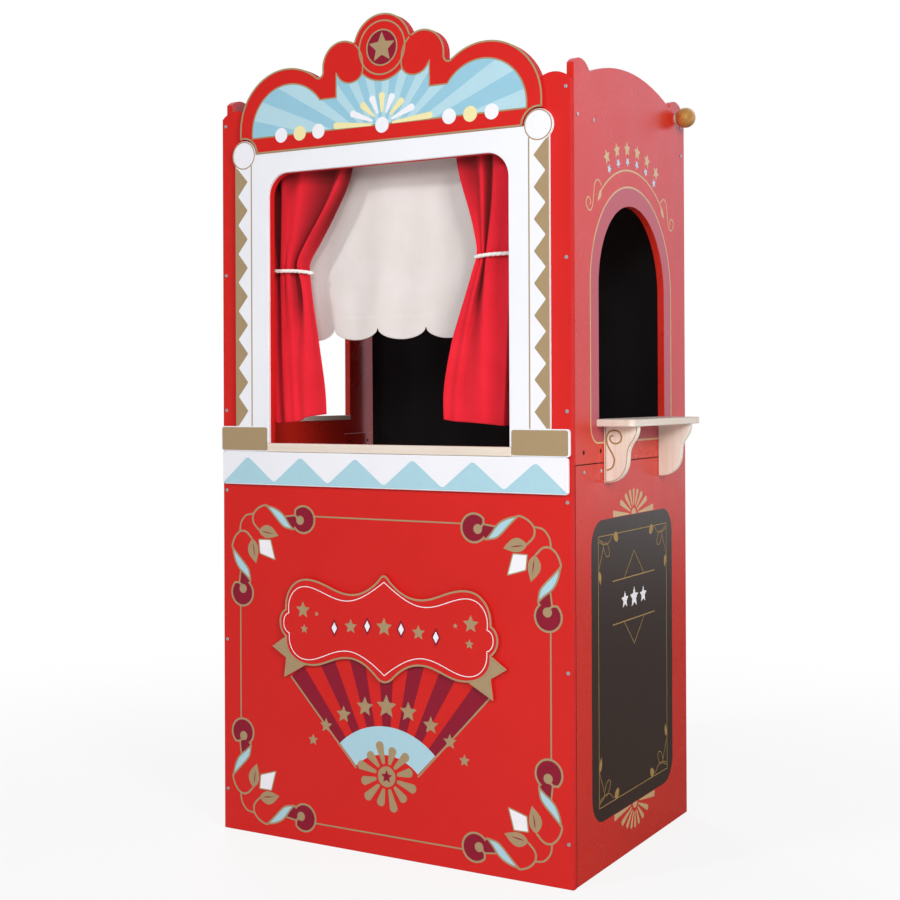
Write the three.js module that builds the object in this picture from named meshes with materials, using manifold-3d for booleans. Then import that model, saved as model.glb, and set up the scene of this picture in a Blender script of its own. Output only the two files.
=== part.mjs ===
// A floor-standing puppet theatre for children, built of painted boards.
// A lower box of three walls carries an upper one with a stage opening, two arched windows and a
// crown. Curtains, a scalloped screen and a backdrop hang on rods inside, and a counter shelf
// stands on two brackets outside the right window.
// Millimetres, +X to the viewer's right, +Y to the back, +Z up. The origin is on the floor, at the
// middle of the front wall's foot.

import * as THREE from "three";
import { mergeVertices } from "three/addons/utils/BufferGeometryUtils.js";
import Module from "manifold-3d";

const wasm = await Module();
wasm.setup();

// Overall sizes and boards
const width = 657;
const depth = 471;
const lowerHeight = 644.5; // floor to the joint of the two front walls
const upperHeight = 705.5; // that joint to the top of the crown
const board = 12; // walls, stretcher, rail and brackets
const overlay = 6; // boards glued on the front
const ease = 0.8; // eased edges of every board
const seam = 0.3; // gap left where two pieces touch
const overrun = 6; // how far a cutting tool reaches past a face
const chordGap = 0.17; // the most that a straight step may cut off a round outline

const halfWidth = width / 2;
const innerHalf = halfWidth - board;
const frontFace = -board / 2;
const wallBack = board / 2;
const sideFront = wallBack + seam;
const sideBack = frontFace + depth;
const middleDepth = frontFace + depth / 2;
const overlayFace = frontFace - seam - overlay;

// Heights where the upper box stands on the lower one
const jointStep = 12.5; // the side walls part this much lower than the front
const height = lowerHeight + upperHeight;
const frontJoint = lowerHeight;
const sideJoint = frontJoint - jointStep;

// Crown: a medallion between two small lobes and two large arches, and a round shoulder of the red
// wall outside it. The outline follows the width, and these are shares of it. Reaches go from the
// middle to a centre. The lobes' and arches' drops go from the medallion's centre to theirs, and
// the others from the crown's top.
const medallionRadiusShare = 0.0837;
const lobeRadiusShare = 0.0609;
const lobeReachShare = 0.1149;
const lobeDropShare = 0.0304;
const archRadiusShare = 0.1476;
const archReachShare = 0.2861;
const archDropShare = 0.1659;
const notchRadiusShare = 0.0117; // round notch between a lobe and an arch
const crownDropShare = 0.312; // the crown's straight foot
const shoulderRadiusShare = 0.0589;
const shoulderReachShare = 0.4566;
const shoulderDropShare = 0.1918; // the shoulder's top

const medallionRadius = width * medallionRadiusShare;
const medallion = [0, height - medallionRadius];
const lobeRadius = width * lobeRadiusShare;
const lobe = [width * lobeReachShare, medallion[1] - width * lobeDropShare];
const archRadius = width * archRadiusShare;
const arch = [width * archReachShare, medallion[1] - width * archDropShare];
const notchRadius = width * notchRadiusShare;
const crownFoot = height - width * crownDropShare;
const shoulderRadius = width * shoulderRadiusShare;
const shoulder = [width * shoulderReachShare, height - width * shoulderDropShare - shoulderRadius];

// White board round the stage
const discInset = 50.5; // from the wall's edge to the middle of a column's round capital
const discRadius = 24.5;
const discGap = 2.5; // between a capital and the crown's hollow round it
const columnInset = 32.5; // from the wall's edge to a column's outer edge
const blockHeight = 42.5; // base blocks of the columns
const blockInset = 1; // from the wall's edge
const blockCorner = 5;
const openingInset = 101.5; // from the wall's edge to the stage opening
const headHeight = 35; // white board above the stage opening
const openingCorner = 38;
const sillRise = 14.5; // stage sill's top above the front joint
const sillOverlap = 3; // sill's ends past the opening
const sillProud = 1.5; // sill's face in front of the white board

const discReach = halfWidth - discInset;
const columnReach = halfWidth - columnInset;
const openingHalf = halfWidth - openingInset;
const openingTop = crownFoot - headHeight;
const sillHeight = frontJoint + sillRise;

// Boards glued on the lower front
const friezeHeight = 55.7;
const friezeInset = 3.5;
const friezeCorner = 5;
const signHalfWidth = 206.5;
const signHalfHeight = 86.25;
const signBelowJoint = 279.75; // sign's middle below the front joint
const friezeLow = frontJoint - friezeHeight;
const signCentre = frontJoint - signBelowJoint;
const signCurveSteps = 7;

// Side walls: lobes at both ends of a long arc, and an arched window
const sideLobeRadius = 40;
const sideLobeInset = 39.5; // lobes' centres from the front and back faces
const sideLobeDrop = 101.5; // top of the side lobes below the crown's top
const sideArcDrop = 88; // top of the long arc below the crown's top
const sideArcRadius = 493.5;
const windowInset = 99.5; // window's sides from the front and back faces
const windowTopDrop = 306.5; // window's top below the crown's top
const windowRise = 55.5; // shelf and sill top above the front joint
const windowSillThickness = 9;
const windowSillLip = 2; // how far the sill stands into the room

const sideLobeReach = depth / 2 - sideLobeInset;
const windowHalf = depth / 2 - windowInset;
const counterHeight = frontJoint + windowRise;
const windowSpring = height - windowTopDrop - windowHalf;

// Counter shelf and its brackets
const shelfReach = 62;
const shelfOverlap = 9; // shelf's ends past the window
const shelfThickness = 11;
const shelfCorner = 9;
const bracketInset = 23; // from the window's side to a bracket's middle
const bracketHeight = 88;
const bracketTop = 57; // reach under the shelf
const bracketWaist = 40.5; // reach at the waist
const bracketWaistDrop = 47;
const bracketToe = 3; // square toe against the wall
const bracketScrewDrop = 14; // screws below the bracket's top
const bracketCurveSteps = 10;

const shelfHalf = windowHalf + shelfOverlap;
const bracketOffset = windowHalf - bracketInset;

// Stretcher, rail and the screws that hold the boards together
const stretcherDepth = 84;
const stretcherRise = 51; // its middle above the stage opening
const railHeight = 84;
const railDrop = 168; // its middle below the crown's top
const railInset = 16.5; // its middle from the back edge
const screwRadius = 2;
const screwHeadRadius = 3.5;
const screwHeadHeight = 1.4;
const headCrownShare = 0.6; // flat top of a head as a share of its radius
const screwSides = 8;
const screwBite = 20; // length past the board that it clamps
const screwSlack = 0.4; // bore's radius over the shank's
const screwEdge = 7.4; // front screws from the wall's edge
const lowerScrewShares = [0.1146, 0.5482, 0.9805]; // of the way from the floor to the frieze
const upperScrewShares = [0.0979, 0.4244, 0.7864]; // of the way from the joint to the crown's top
const stretcherScrewPitch = 58;
const railScrewPitch = 50;

// Steel plates inside that join the lower and upper side walls
const plateThickness = 2.5;
const plateLength = 100;
const plateHeight = 60;
const plateInset = 74; // plates' middles from the front and back faces
const plateScrewPitch = 63;
const plateScrewAbove = 18.5; // bolts above the side joint
const plateScrewBelow = 12;
const boltSink = 2; // upper bolts lie this deep in the wall
const boltHeadGap = 0.6;

const plateOffset = depth / 2 - plateInset;

// Rods
const rodRadius = 6;
const rodSides = 24;
const rodSocket = 6; // depth of the socket in a side wall
const rodRise = 25; // rods above the top of the stage opening
const curtainSetback = 18.5; // curtain rod behind the front wall
const screenSetback = 41.5;
const backdropRodRadius = 8;
const backdropRodDrop = 131; // below the crown's top
const backdropRodInset = 40.5; // from the back edge
const spinSlack = 0.4; // round the backdrop rod, so that it turns
const ballRadius = 17.5;
const ballSocket = 15;
const ballGap = 1; // between a ball and the wall
const ballSides = 20;
const ballRings = 12;

const rodHeight = openingTop + rodRise;
const curtainDepth = wallBack + curtainSetback;
const screenDepth = wallBack + screenSetback;
const backdropDepth = sideBack - backdropRodInset;
const backdropHeight = height - backdropRodDrop;

// Cloth
const sleeveSlack = 0.5; // between a rod and the sleeve sewn round it
const clothThickness = 2;
const curtainThickness = 4; // a gathered curtain, measured straight through its folds
const curtainFolds = 5;
const curtainFoldDepth = 7;
const curtainRows = 12; // grid rows, with one at the waist
const waistRowShare = 5 / 12;
const gatherShare = 0.65; // depth of the folds under the tie rope
const bunchSpreadShare = 0.12; // how far up and down the rope draws them in
const foldSamples = 6; // grid columns for each fold
const curtainTopInset = 17.5; // from the side walls to the curtains' outer top corners
const curtainHemGap = 32; // outer hem corner above the stage sill
// Each curtain's inner edge at the rod, waist and hem, and its widths, as shares of the opening's half
const leftCurtainShares = { top: 0.348, waist: 0.7357, waistWidth: 0.326, hem: 0.5947, hemWidth: 0.4758 };
const rightCurtainShares = { top: 0.4978, waist: 0.6696, waistWidth: 0.37, hem: 0.3965, hemWidth: 0.6696 };
const leftWaistDrop = 187; // below the rod
const rightWaistDrop = 179;
const leftHemLift = 15; // inner hem corner above the outer one
const rightHemLift = 9;
const curtainTopOuter = innerHalf - curtainTopInset;
const screenSideGap = 5; // between the screen and the side walls
const screenScallops = 7;
const screenDrop = 285; // rod to the cusps
const scallopDepth = 20;
const screenWave = 3;
const screenRows = 5;
const scallopSamples = 6;
const backdropSideGap = 11.5;
const backdropFloorGap = 75;
const backdropWave = 3;
const backdropWaves = 4;
const backdropRows = 7;
const ropeRadius = 2.75;
const ropeGap = 0.8; // between the tie rope and the gathered cloth
const ropeSteps = 24;
const ropeSides = 6;
const toggleLength = 15;
const toggleRadius = 5;
const toggleSides = 10;
const toggleRings = 8;

// Finishes
const red = { color: 0xdc2c28, roughness: 0.38 };
const sideRed = { color: 0xc8322e, roughness: 0.34 };
const white = { color: 0xeceef6, roughness: 0.45 };
const wood = { color: 0xf0dec4, roughness: 0.6 };
const curtainRed = { color: 0xe11e2d, roughness: 0.9 };
const cream = { color: 0xe8e4e3, roughness: 0.95 };
const black = { color: 0x111114, roughness: 0.95 };
const gold = { color: 0xc8a050, roughness: 0.35, metalness: 0.8 };
const zinc = { color: 0xb8bcc0, roughness: 0.35, metalness: 1 };
const cord = { color: 0xf4f2ec, roughness: 0.9 };

const theatre = new THREE.Group();

function place(name, geometry, finish) {
  const mesh = new THREE.Mesh(geometry, new THREE.MeshStandardMaterial(finish));
  mesh.name = name;
  theatre.add(mesh);
}

// Solids
function solid(geometry) {
  const bare = new THREE.BufferGeometry();
  const loose = geometry.index ? geometry.toNonIndexed() : geometry;
  bare.setAttribute("position", loose.getAttribute("position"));
  const merged = mergeVertices(bare, seam / 100);
  return new wasm.Manifold(
    new wasm.Mesh({
      numProp: 3,
      vertProperties: merged.attributes.position.array,
      triVerts: new Uint32Array(merged.index.array),
    }),
  );
}

function geometryOf(manifold) {
  const mesh = manifold.getMesh();
  const geometry = new THREE.BufferGeometry();
  geometry.setAttribute("position", new THREE.BufferAttribute(mesh.vertProperties, mesh.numProp));
  geometry.setIndex(new THREE.BufferAttribute(mesh.triVerts, 1));
  return geometry;
}

function cut(geometry, tools) {
  return geometryOf(tools.reduce((left, tool) => left.subtract(solid(tool)), solid(geometry)));
}

function join(geometries) {
  return geometryOf(geometries.slice(1).reduce((sum, one) => sum.add(solid(one)), solid(geometries[0])));
}

// A closed mesh from a grid of points: rows of equal length, joined to the next row. A closed
// column or row wraps round.
function gridFaces(rows, columns, wrapRows, wrapColumns) {
  const faces = [];
  const rowSteps = wrapRows ? rows : rows - 1;
  const columnSteps = wrapColumns ? columns : columns - 1;
  for (let row = 0; row < rowSteps; row += 1) {
    for (let column = 0; column < columnSteps; column += 1) {
      const here = row * columns + column;
      const right = row * columns + ((column + 1) % columns);
      const below = ((row + 1) % rows) * columns + column;
      const across = ((row + 1) % rows) * columns + ((column + 1) % columns);
      faces.push(here, below, right, right, below, across);
    }
  }
  return faces;
}

function meshOf(points, faces) {
  const geometry = new THREE.BufferGeometry();
  geometry.setAttribute("position", new THREE.Float32BufferAttribute(points.flat(), 3));
  geometry.setIndex(faces);
  return geometry;
}

// Outlines: a list of [across, up] points, without doubles
function arc(across, up, radius, from, to) {
  const turnStep = 2 * Math.acos(1 - chordGap / radius);
  const steps = Math.max(1, Math.ceil(Math.abs(to - from) / turnStep));
  return Array.from({ length: steps + 1 }, (unused, step) => {
    const angle = from + ((to - from) * step) / steps;
    return [across + radius * Math.cos(angle), up + radius * Math.sin(angle)];
  });
}

function bezier(from, firstPull, secondPull, to, steps) {
  const points = [from, firstPull, secondPull, to].map(([across, up]) => new THREE.Vector2(across, up));
  const curve = new THREE.CubicBezierCurve(...points);
  return curve.getPoints(steps).map((point) => [point.x, point.y]);
}

function mirrored(points) {
  return points.map(([across, up]) => [-across, up]).reverse();
}

function shapeOf(points) {
  const apart = (one, other) => Math.hypot(one[0] - other[0], one[1] - other[1]) > seam / 10;
  const kept = points.filter((point, index) => apart(point, points.at(index - 1)));
  return new THREE.Shape(kept.map(([across, up]) => new THREE.Vector2(across, up)));
}

// The angle at which a circle passes the point where it meets a second circle. side is 1 for the
// meeting point on the left of the way from the first centre to the second, and -1 on its right.
function meetingAngle(centre, radius, otherCentre, otherRadius, side) {
  const across = otherCentre[0] - centre[0];
  const up = otherCentre[1] - centre[1];
  const apart = Math.hypot(across, up);
  const reach = (radius ** 2 - otherRadius ** 2 + apart ** 2) / (2 * apart);
  return Math.atan2(up, across) + side * Math.acos(reach / radius);
}

// A board cut to an outline, with eased edges, lying in the plane of the outline
function plank(points, thickness, holes = []) {
  const shape = shapeOf(points);
  shape.holes = holes.map((hole) => shapeOf(hole));
  const geometry = new THREE.ExtrudeGeometry(shape, {
    depth: thickness - 2 * ease,
    bevelThickness: ease,
    bevelSize: ease,
    bevelOffset: -ease,
    bevelSegments: 1,
  });
  return geometry.translate(0, 0, ease);
}

// Outline across and up, thickness to the back from the given face
function frontPlank(points, thickness, face, holes) {
  return plank(points, thickness, holes).rotateX(Math.PI / 2).translate(0, face + thickness, 0);
}

// Outline along the depth and up, thickness to the right from the given face
function sidePlank(points, thickness, face, holes) {
  return plank(points, thickness, holes).rotateX(Math.PI / 2).rotateZ(Math.PI / 2).translate(face, 0, 0);
}

function rectangle(left, right, low, high) {
  return [[left, low], [right, low], [right, high], [left, high]];
}

function roundedRectangle(left, right, low, high, radius) {
  const quarter = Math.PI / 2;
  return [
    ...arc(right - radius, low + radius, radius, -quarter, 0),
    ...arc(right - radius, high - radius, radius, 0, quarter),
    ...arc(left + radius, high - radius, radius, quarter, 2 * quarter),
    ...arc(left + radius, low + radius, radius, 2 * quarter, 3 * quarter),
  ];
}

// Round bars and bores between two places on one axis
function barAlongX(radius, from, to, depthAt, upAt, around = rodSides) {
  const bar = new THREE.CylinderGeometry(radius, radius, to - from, around);
  return bar.rotateZ(Math.PI / 2).translate((from + to) / 2, depthAt, upAt);
}

function barAlongY(radius, from, to, acrossAt, upAt, around = screwSides) {
  const bar = new THREE.CylinderGeometry(radius, radius, to - from, around);
  return bar.translate(acrossAt, (from + to) / 2, upAt);
}

// A pan-head screw whose head rests on a face. It points along +X or -X, or along +Y.
function screw(length) {
  const profile = [
    [0, -screwHeadHeight],
    [screwHeadRadius * headCrownShare, -screwHeadHeight],
    [screwHeadRadius, -seam],
    [screwRadius, -seam],
    [screwRadius, length],
    [0, length],
  ].map(([out, along]) => new THREE.Vector2(out, along));
  return new THREE.LatheGeometry(profile, screwSides);
}

function screwAlongX(length, face, depthAt, upAt, direction) {
  return screw(length).rotateZ((-direction * Math.PI) / 2).translate(face, depthAt, upAt);
}

function screwAlongY(length, face, acrossAt, upAt) {
  return screw(length).translate(acrossAt, face, upAt);
}

// Crown outline from its right foot to its left foot, over the top
function crownTop(startAngle) {
  const notchReach = lobe[0] + lobeRadius + notchRadius;
  const notchAngle = Math.acos((notchReach - arch[0]) / (archRadius + notchRadius));
  const notchHeight = arch[1] + (archRadius + notchRadius) * Math.sin(notchAngle);
  const lobeEnd = meetingAngle(lobe, lobeRadius, medallion, medallionRadius, -1);
  const medallionStart = meetingAngle(medallion, medallionRadius, lobe, lobeRadius, 1);
  const right = [
    ...arc(...arch, archRadius, startAngle, notchAngle),
    ...arc(notchReach, notchHeight, notchRadius, notchAngle + Math.PI, Math.PI),
    ...arc(...lobe, lobeRadius, 0, lobeEnd + (lobeEnd < 0 ? 2 * Math.PI : 0)),
  ];
  const top = arc(...medallion, medallionRadius, medallionStart, Math.PI - medallionStart);
  return [...right, ...top, ...mirrored(right)];
}

// The hollow of the crown round a column's capital, from the crown's foot to its side
function crownHollow() {
  const radius = discRadius + discGap;
  const sideAngle = Math.acos((arch[0] + archRadius - discReach) / radius);
  return arc(discReach, crownFoot, radius, Math.PI, sideAngle);
}

function crownBoard() {
  const hollow = crownHollow();
  return [...hollow, ...crownTop(0), ...mirrored(hollow)];
}

// Stage opening of the red wall, with round upper corners
function stageOpening(foot) {
  const corner = openingHalf - openingCorner;
  const round = arc(corner, openingTop - openingCorner, openingCorner, 0, Math.PI / 2);
  const right = [[openingHalf, foot], ...round];
  return [...right, ...mirrored(right)];
}

function upperFrontOutline() {
  const cornerAngle = Math.acos((halfWidth - shoulder[0]) / shoulderRadius);
  const shoulderEnd = meetingAngle(shoulder, shoulderRadius, arch, archRadius, -1);
  const archStart = meetingAngle(arch, archRadius, shoulder, shoulderRadius, 1);
  const round = arc(...shoulder, shoulderRadius, cornerAngle, shoulderEnd);
  const right = [[halfWidth, frontJoint + seam], ...round];
  return [...right, ...crownTop(archStart), ...mirrored(right)];
}

function upperFrontPanel() {
  const panel = frontPlank(upperFrontOutline(), board, frontFace, [stageOpening(sillHeight - seam)]);
  return cut(panel, frontScrewPlaces(upperScrewHeights).map(frontScrewBore));
}

// White board: two columns on base blocks, round capitals, and a head over the stage
function prosceniumBoard() {
  const low = frontJoint + seam;
  const blockTop = frontJoint + blockHeight;
  const blockOuter = halfWidth - blockInset;
  const neckAngle = -Math.acos((columnReach - discReach) / discRadius);
  const topAngle = Math.PI + Math.asin(seam / discRadius);
  const sillEnd = openingHalf + sillOverlap + seam;
  const corner = openingHalf - openingCorner;
  const right = [
    [sillEnd, low],
    ...arc(blockOuter - blockCorner, low + blockCorner, blockCorner, -Math.PI / 2, 0),
    ...arc(blockOuter - blockCorner, blockTop - blockCorner, blockCorner, 0, Math.PI / 2),
    [columnReach, blockTop],
    ...arc(discReach, crownFoot, discRadius, neckAngle, topAngle),
  ];
  const opening = [
    ...arc(corner, openingTop - openingCorner, openingCorner, Math.PI / 2, 0),
    [openingHalf, sillHeight + seam],
    [sillEnd, sillHeight + seam],
  ];
  const outline = [...right, ...mirrored(right), ...mirrored(opening), ...opening];
  return frontPlank(outline, overlay, overlayFace);
}

// Sign: a cartouche with two ribbon points at its lower corners. The tables hold shares of its
// half width and half height, from the top tip down the right side.
const signUpperShares = [
  [[0, 1], [0.029, 1], [0.048, 0.907], [0.077, 0.849]],
  [[0.077, 0.849], [0.145, 0.71], [0.218, 0.606], [0.315, 0.606]],
  [[0.315, 0.606], [0.46, 0.606], [0.571, 0.834], [0.724, 0.834]],
  [[0.724, 0.834], [0.862, 0.834], [0.949, 0.571], [0.944, 0.223]],
  [[0.944, 0.223], [0.978, 0.177], [1, 0.084], [1, -0.026]],
  [[1, -0.026], [1, -0.148], [0.978, -0.252], [0.942, -0.31]],
];
const ribbonShares = [[1.075, -0.519], [0.939, -0.716], [0.959, -1.11], [0.746, -0.823]];
const signLowerShares = [
  [[0.7, -0.826], [0.557, -0.826], [0.475, -0.62], [0.334, -0.62]],
  [[0.334, -0.62], [0.218, -0.62], [0.136, -0.774], [0.073, -0.925]],
  [[0.073, -0.925], [0.048, -0.977], [0.024, -1], [0, -1]],
];

function signBoard() {
  const real = ([across, up]) => [across * signHalfWidth, signCentre + up * signHalfHeight];
  const curves = (table) => table.flatMap((row) => bezier(...row.map(real), signCurveSteps));
  const right = [...curves(signUpperShares), ...ribbonShares.map(real), ...curves(signLowerShares)];
  return frontPlank([...right, ...mirrored(right)].reverse(), overlay, overlayFace);
}

// Side walls
function sideTop() {
  const lobeCentre = height - sideLobeDrop - sideLobeRadius;
  const arcCentre = height - sideArcDrop - sideArcRadius;
  const front = [-sideLobeReach, lobeCentre];
  const back = [sideLobeReach, lobeCentre];
  const long = [0, arcCentre];
  const frontEdge = Math.PI - Math.acos((middleDepth - sideFront - sideLobeReach) / sideLobeRadius);
  const backEdge = Math.acos((sideBack - middleDepth - sideLobeReach) / sideLobeRadius);
  const lobeInner = meetingAngle(back, sideLobeRadius, long, sideArcRadius, -1);
  const arcStart = meetingAngle(long, sideArcRadius, back, sideLobeRadius, 1);
  const unwrapped = lobeInner < 0 ? lobeInner + 2 * Math.PI : lobeInner;
  const points = [
    ...arc(...back, sideLobeRadius, backEdge, unwrapped),
    ...arc(...long, sideArcRadius, arcStart, Math.PI - arcStart).filter((unused, index) => index > 0),
    ...arc(...front, sideLobeRadius, Math.PI - unwrapped, frontEdge),
  ];
  return points.map(([along, up]) => [middleDepth + along, up]);
}

function windowHole() {
  const foot = counterHeight - windowSillThickness - seam;
  const front = middleDepth - windowHalf;
  const back = middleDepth + windowHalf;
  return [[front, foot], [back, foot], ...arc(middleDepth, windowSpring, windowHalf, 0, Math.PI)];
}

const sides = [
  { name: "left", sign: -1 },
  { name: "right", sign: 1 },
];
const wallLeft = (sign) => (sign < 0 ? -halfWidth : innerHalf);
const outerFace = (sign) => sign * halfWidth;

// Screw places
const lowerScrewHeights = lowerScrewShares.map((share) => friezeLow * share);
const upperScrewHeights = upperScrewShares.map((share) => frontJoint + (height - frontJoint) * share);
const stretcherHeight = openingTop + stretcherRise;
const stretcherMiddle = sideFront + stretcherDepth / 2;
const railMiddle = sideBack - railInset;
const railCentre = height - railDrop;
const plateMiddles = [middleDepth - plateOffset, middleDepth + plateOffset];
const boltHeight = sideJoint + plateScrewAbove;
const plateScrewHeight = sideJoint - plateScrewBelow;

function frontScrewPlaces(heights) {
  return heights.flatMap((up) => sides.map(({ sign }) => [sign * (halfWidth - screwEdge), up]));
}

function frontScrewBore([across, up]) {
  const end = wallBack + screwBite + overrun / 2;
  return barAlongY(screwRadius + screwSlack, frontFace - overrun, end, across, up);
}

function frontScrew([across, up]) {
  return screwAlongY(board + screwBite, frontFace, across, up);
}

function pairs(middle, pitch) {
  return [middle - pitch / 2, middle + pitch / 2];
}

// Places on the side walls, as [depth, up]
const stretcherScrews = pairs(stretcherMiddle, stretcherScrewPitch).map((along) => [along, stretcherHeight]);
const railScrews = pairs(railCentre, railScrewPitch).map((up) => [railMiddle, up]);
const platePlaces = plateMiddles.flatMap((middle) => pairs(middle, plateScrewPitch));
const boltPlaces = platePlaces.map((along) => [along, boltHeight]);
const plateScrewPlaces = platePlaces.map((along) => [along, plateScrewHeight]);
const bracketMiddles = [middleDepth - bracketOffset, middleDepth + bracketOffset];
const bracketScrewHeight = counterHeight - shelfThickness - bracketScrewDrop;

// A bore through a side wall and on into what it holds
function sideBore(sign, [along, up], inward) {
  const ends = [sign * (halfWidth + overrun), sign * (innerHalf - inward)].sort((one, other) => one - other);
  return barAlongX(screwRadius + screwSlack, ...ends, along, up, screwSides);
}

function upperSidePanel(sign) {
  const low = sideJoint + seam;
  const outline = [[sideFront, low], [sideBack, low], ...sideTop()];
  const panel = sidePlank(outline, board, wallLeft(sign), [windowHole()]);
  const socketEnds = [sign * (innerHalf - overrun), sign * (innerHalf + rodSocket)].sort((a, b) => a - b);
  const socket = (along) => barAlongX(rodRadius + seam, ...socketEnds, along, rodHeight);
  const rodBore = barAlongX(
    backdropRodRadius + spinSlack,
    wallLeft(sign) - overrun,
    wallLeft(sign) + board + overrun,
    backdropDepth,
    backdropHeight,
  );
  const boltSinks = boltPlaces.map(([along, up]) => {
    const ends = [outerFace(sign) + sign * overrun, outerFace(sign) - sign * (boltSink + screwHeadHeight)];
    return barAlongX(screwHeadRadius + boltHeadGap, ...ends.sort((a, b) => a - b), along, up, screwSides);
  });
  const borePlaces = [...stretcherScrews, ...railScrews, ...boltPlaces];
  const bores = borePlaces.map((place) => sideBore(sign, place, overrun));
  const edgeBores = frontScrewPlaces(upperScrewHeights).map(frontScrewBore);
  const bracketScrews = bracketMiddles.map((along) => [along, bracketScrewHeight]);
  const bracketBores = (sign > 0 ? bracketScrews : []).map((place) => sideBore(sign, place, overrun));
  const tools = [socket(curtainDepth), socket(screenDepth), rodBore, ...boltSinks, ...bores, ...edgeBores];
  return cut(panel, [...tools, ...bracketBores]);
}

function lowerSidePanel(sign) {
  const panel = sidePlank(rectangle(sideFront, sideBack, 0, sideJoint), board, wallLeft(sign));
  const bores = plateScrewPlaces.map((place) => sideBore(sign, place, overrun));
  return cut(panel, [...bores, ...frontScrewPlaces(lowerScrewHeights).map(frontScrewBore)]);
}

// Lower box
const lowerFront = frontPlank(rectangle(-halfWidth, halfWidth, 0, frontJoint), board, frontFace);
place("lower_front_panel", cut(lowerFront, frontScrewPlaces(lowerScrewHeights).map(frontScrewBore)), red);
sides.forEach(({ name, sign }) => place(`lower_side_panel_${name}`, lowerSidePanel(sign), sideRed));

const friezeHalf = halfWidth - friezeInset;
const friezeOutline = roundedRectangle(-friezeHalf, friezeHalf, friezeLow, frontJoint, friezeCorner);
place("frieze_board", frontPlank(friezeOutline, overlay, overlayFace), white);
place("sign_board", signBoard(), red);

// Upper box
place("upper_front_panel", upperFrontPanel(), red);
place("crown_board", frontPlank(crownBoard(), overlay, overlayFace), red);
place("proscenium_board", prosceniumBoard(), white);
sides.forEach(({ name, sign }) => place(`upper_side_panel_${name}`, upperSidePanel(sign), sideRed));

const sillOutline = rectangle(
  -openingHalf - sillOverlap,
  openingHalf + sillOverlap,
  frontJoint + seam,
  sillHeight,
);
place("stage_sill", frontPlank(sillOutline, overlay + sillProud, overlayFace - sillProud), wood);

const betweenWalls = [-innerHalf + seam, innerHalf - seam];
const stretcherOutline = rectangle(...betweenWalls, sideFront, sideFront + stretcherDepth);
const stretcher = plank(stretcherOutline, board).translate(0, 0, stretcherHeight - board / 2);
const stretcherBores = sides.flatMap(({ sign }) =>
  stretcherScrews.map((place) => sideBore(sign, place, screwBite + overrun / 2)),
);
place("front_stretcher", cut(stretcher, stretcherBores), wood);

const railOutline = rectangle(...betweenWalls, railCentre - railHeight / 2, railCentre + railHeight / 2);
const rail = frontPlank(railOutline, board, railMiddle - board / 2);
const railBores = sides.flatMap(({ sign }) =>
  railScrews.map((place) => sideBore(sign, place, screwBite + overrun / 2)),
);
place("back_rail", cut(rail, railBores), sideRed);

// Wooden sills in the windows
sides.forEach(({ name, sign }) => {
  const outline = rectangle(
    middleDepth - windowHalf + seam,
    middleDepth + windowHalf - seam,
    counterHeight - windowSillThickness,
    counterHeight,
  );
  const left = sign < 0 ? wallLeft(sign) : wallLeft(sign) - windowSillLip;
  place(`window_sill_${name}`, sidePlank(outline, board + windowSillLip, left), wood);
});

// Counter shelf on two curved brackets
const shelfInner = halfWidth + seam;
const shelfOuter = halfWidth + shelfReach;
const shelfOutline = [
  [shelfInner, middleDepth - shelfHalf],
  ...arc(shelfOuter - shelfCorner, middleDepth - shelfHalf + shelfCorner, shelfCorner, -Math.PI / 2, 0),
  ...arc(shelfOuter - shelfCorner, middleDepth + shelfHalf - shelfCorner, shelfCorner, 0, Math.PI / 2),
  [shelfInner, middleDepth + shelfHalf],
];
const shelf = plank(shelfOutline, shelfThickness).translate(0, 0, counterHeight - shelfThickness);
place("counter_shelf", shelf, wood);

// Bracket outline: reach from the wall and height, an ogee from the shelf down to the wall
function bracketOutline() {
  const top = counterHeight - shelfThickness - seam;
  const low = top - bracketHeight;
  const waist = top - bracketWaistDrop;
  const half = bracketWaistDrop / 2;
  const belly = (waist - low) / 2;
  return [
    [shelfInner, low],
    ...bezier(
      [shelfInner + bracketToe, low],
      [shelfInner + bracketWaist - belly / 2, low],
      [shelfInner + bracketWaist, waist - belly],
      [shelfInner + bracketWaist, waist],
      bracketCurveSteps,
    ),
    ...bezier(
      [shelfInner + bracketWaist, waist],
      [shelfInner + bracketWaist, waist + half],
      [shelfInner + bracketTop, top - half],
      [shelfInner + bracketTop, top],
      bracketCurveSteps,
    ),
    [shelfInner, top],
  ];
}

bracketMiddles.forEach((along, index) => {
  const bracket = frontPlank(bracketOutline(), board, along - board / 2);
  const reach = [innerHalf - overrun, halfWidth + screwBite + overrun / 2];
  const bore = barAlongX(screwRadius + screwSlack, ...reach, along, bracketScrewHeight, screwSides);
  place(`shelf_bracket_${index ? "back" : "front"}`, cut(bracket, [bore]), wood);
});

// Steel plates across the side joint
const plateLow = (plateScrewHeight + boltHeight - plateHeight) / 2;
sides.forEach(({ name, sign }) => {
  plateMiddles.forEach((middle, index) => {
    const left = sign < 0 ? -innerHalf + seam : innerHalf - seam - plateThickness;
    const ends = [middle - plateLength / 2, middle + plateLength / 2];
    const outline = rectangle(...ends, plateLow, plateLow + plateHeight);
    const plate = sidePlank(outline, plateThickness, left);
    const places = pairs(middle, plateScrewPitch).flatMap((along) => [
      [along, boltHeight],
      [along, plateScrewHeight],
    ]);
    const bores = places.map((place) => sideBore(sign, place, plateThickness + overrun));
    place(`joining_plate_${index ? "back" : "front"}_${name}`, cut(plate, bores), zinc);
  });
});

// Screws, numbered from the floor up or from the front back
frontScrewPlaces([...lowerScrewHeights, ...upperScrewHeights]).forEach((at, index) => {
  const level = Math.floor(index / sides.length) + 1;
  place(`front_screw_${sides[index % sides.length].name}_${level}`, frontScrew(at), zinc);
});

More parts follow.
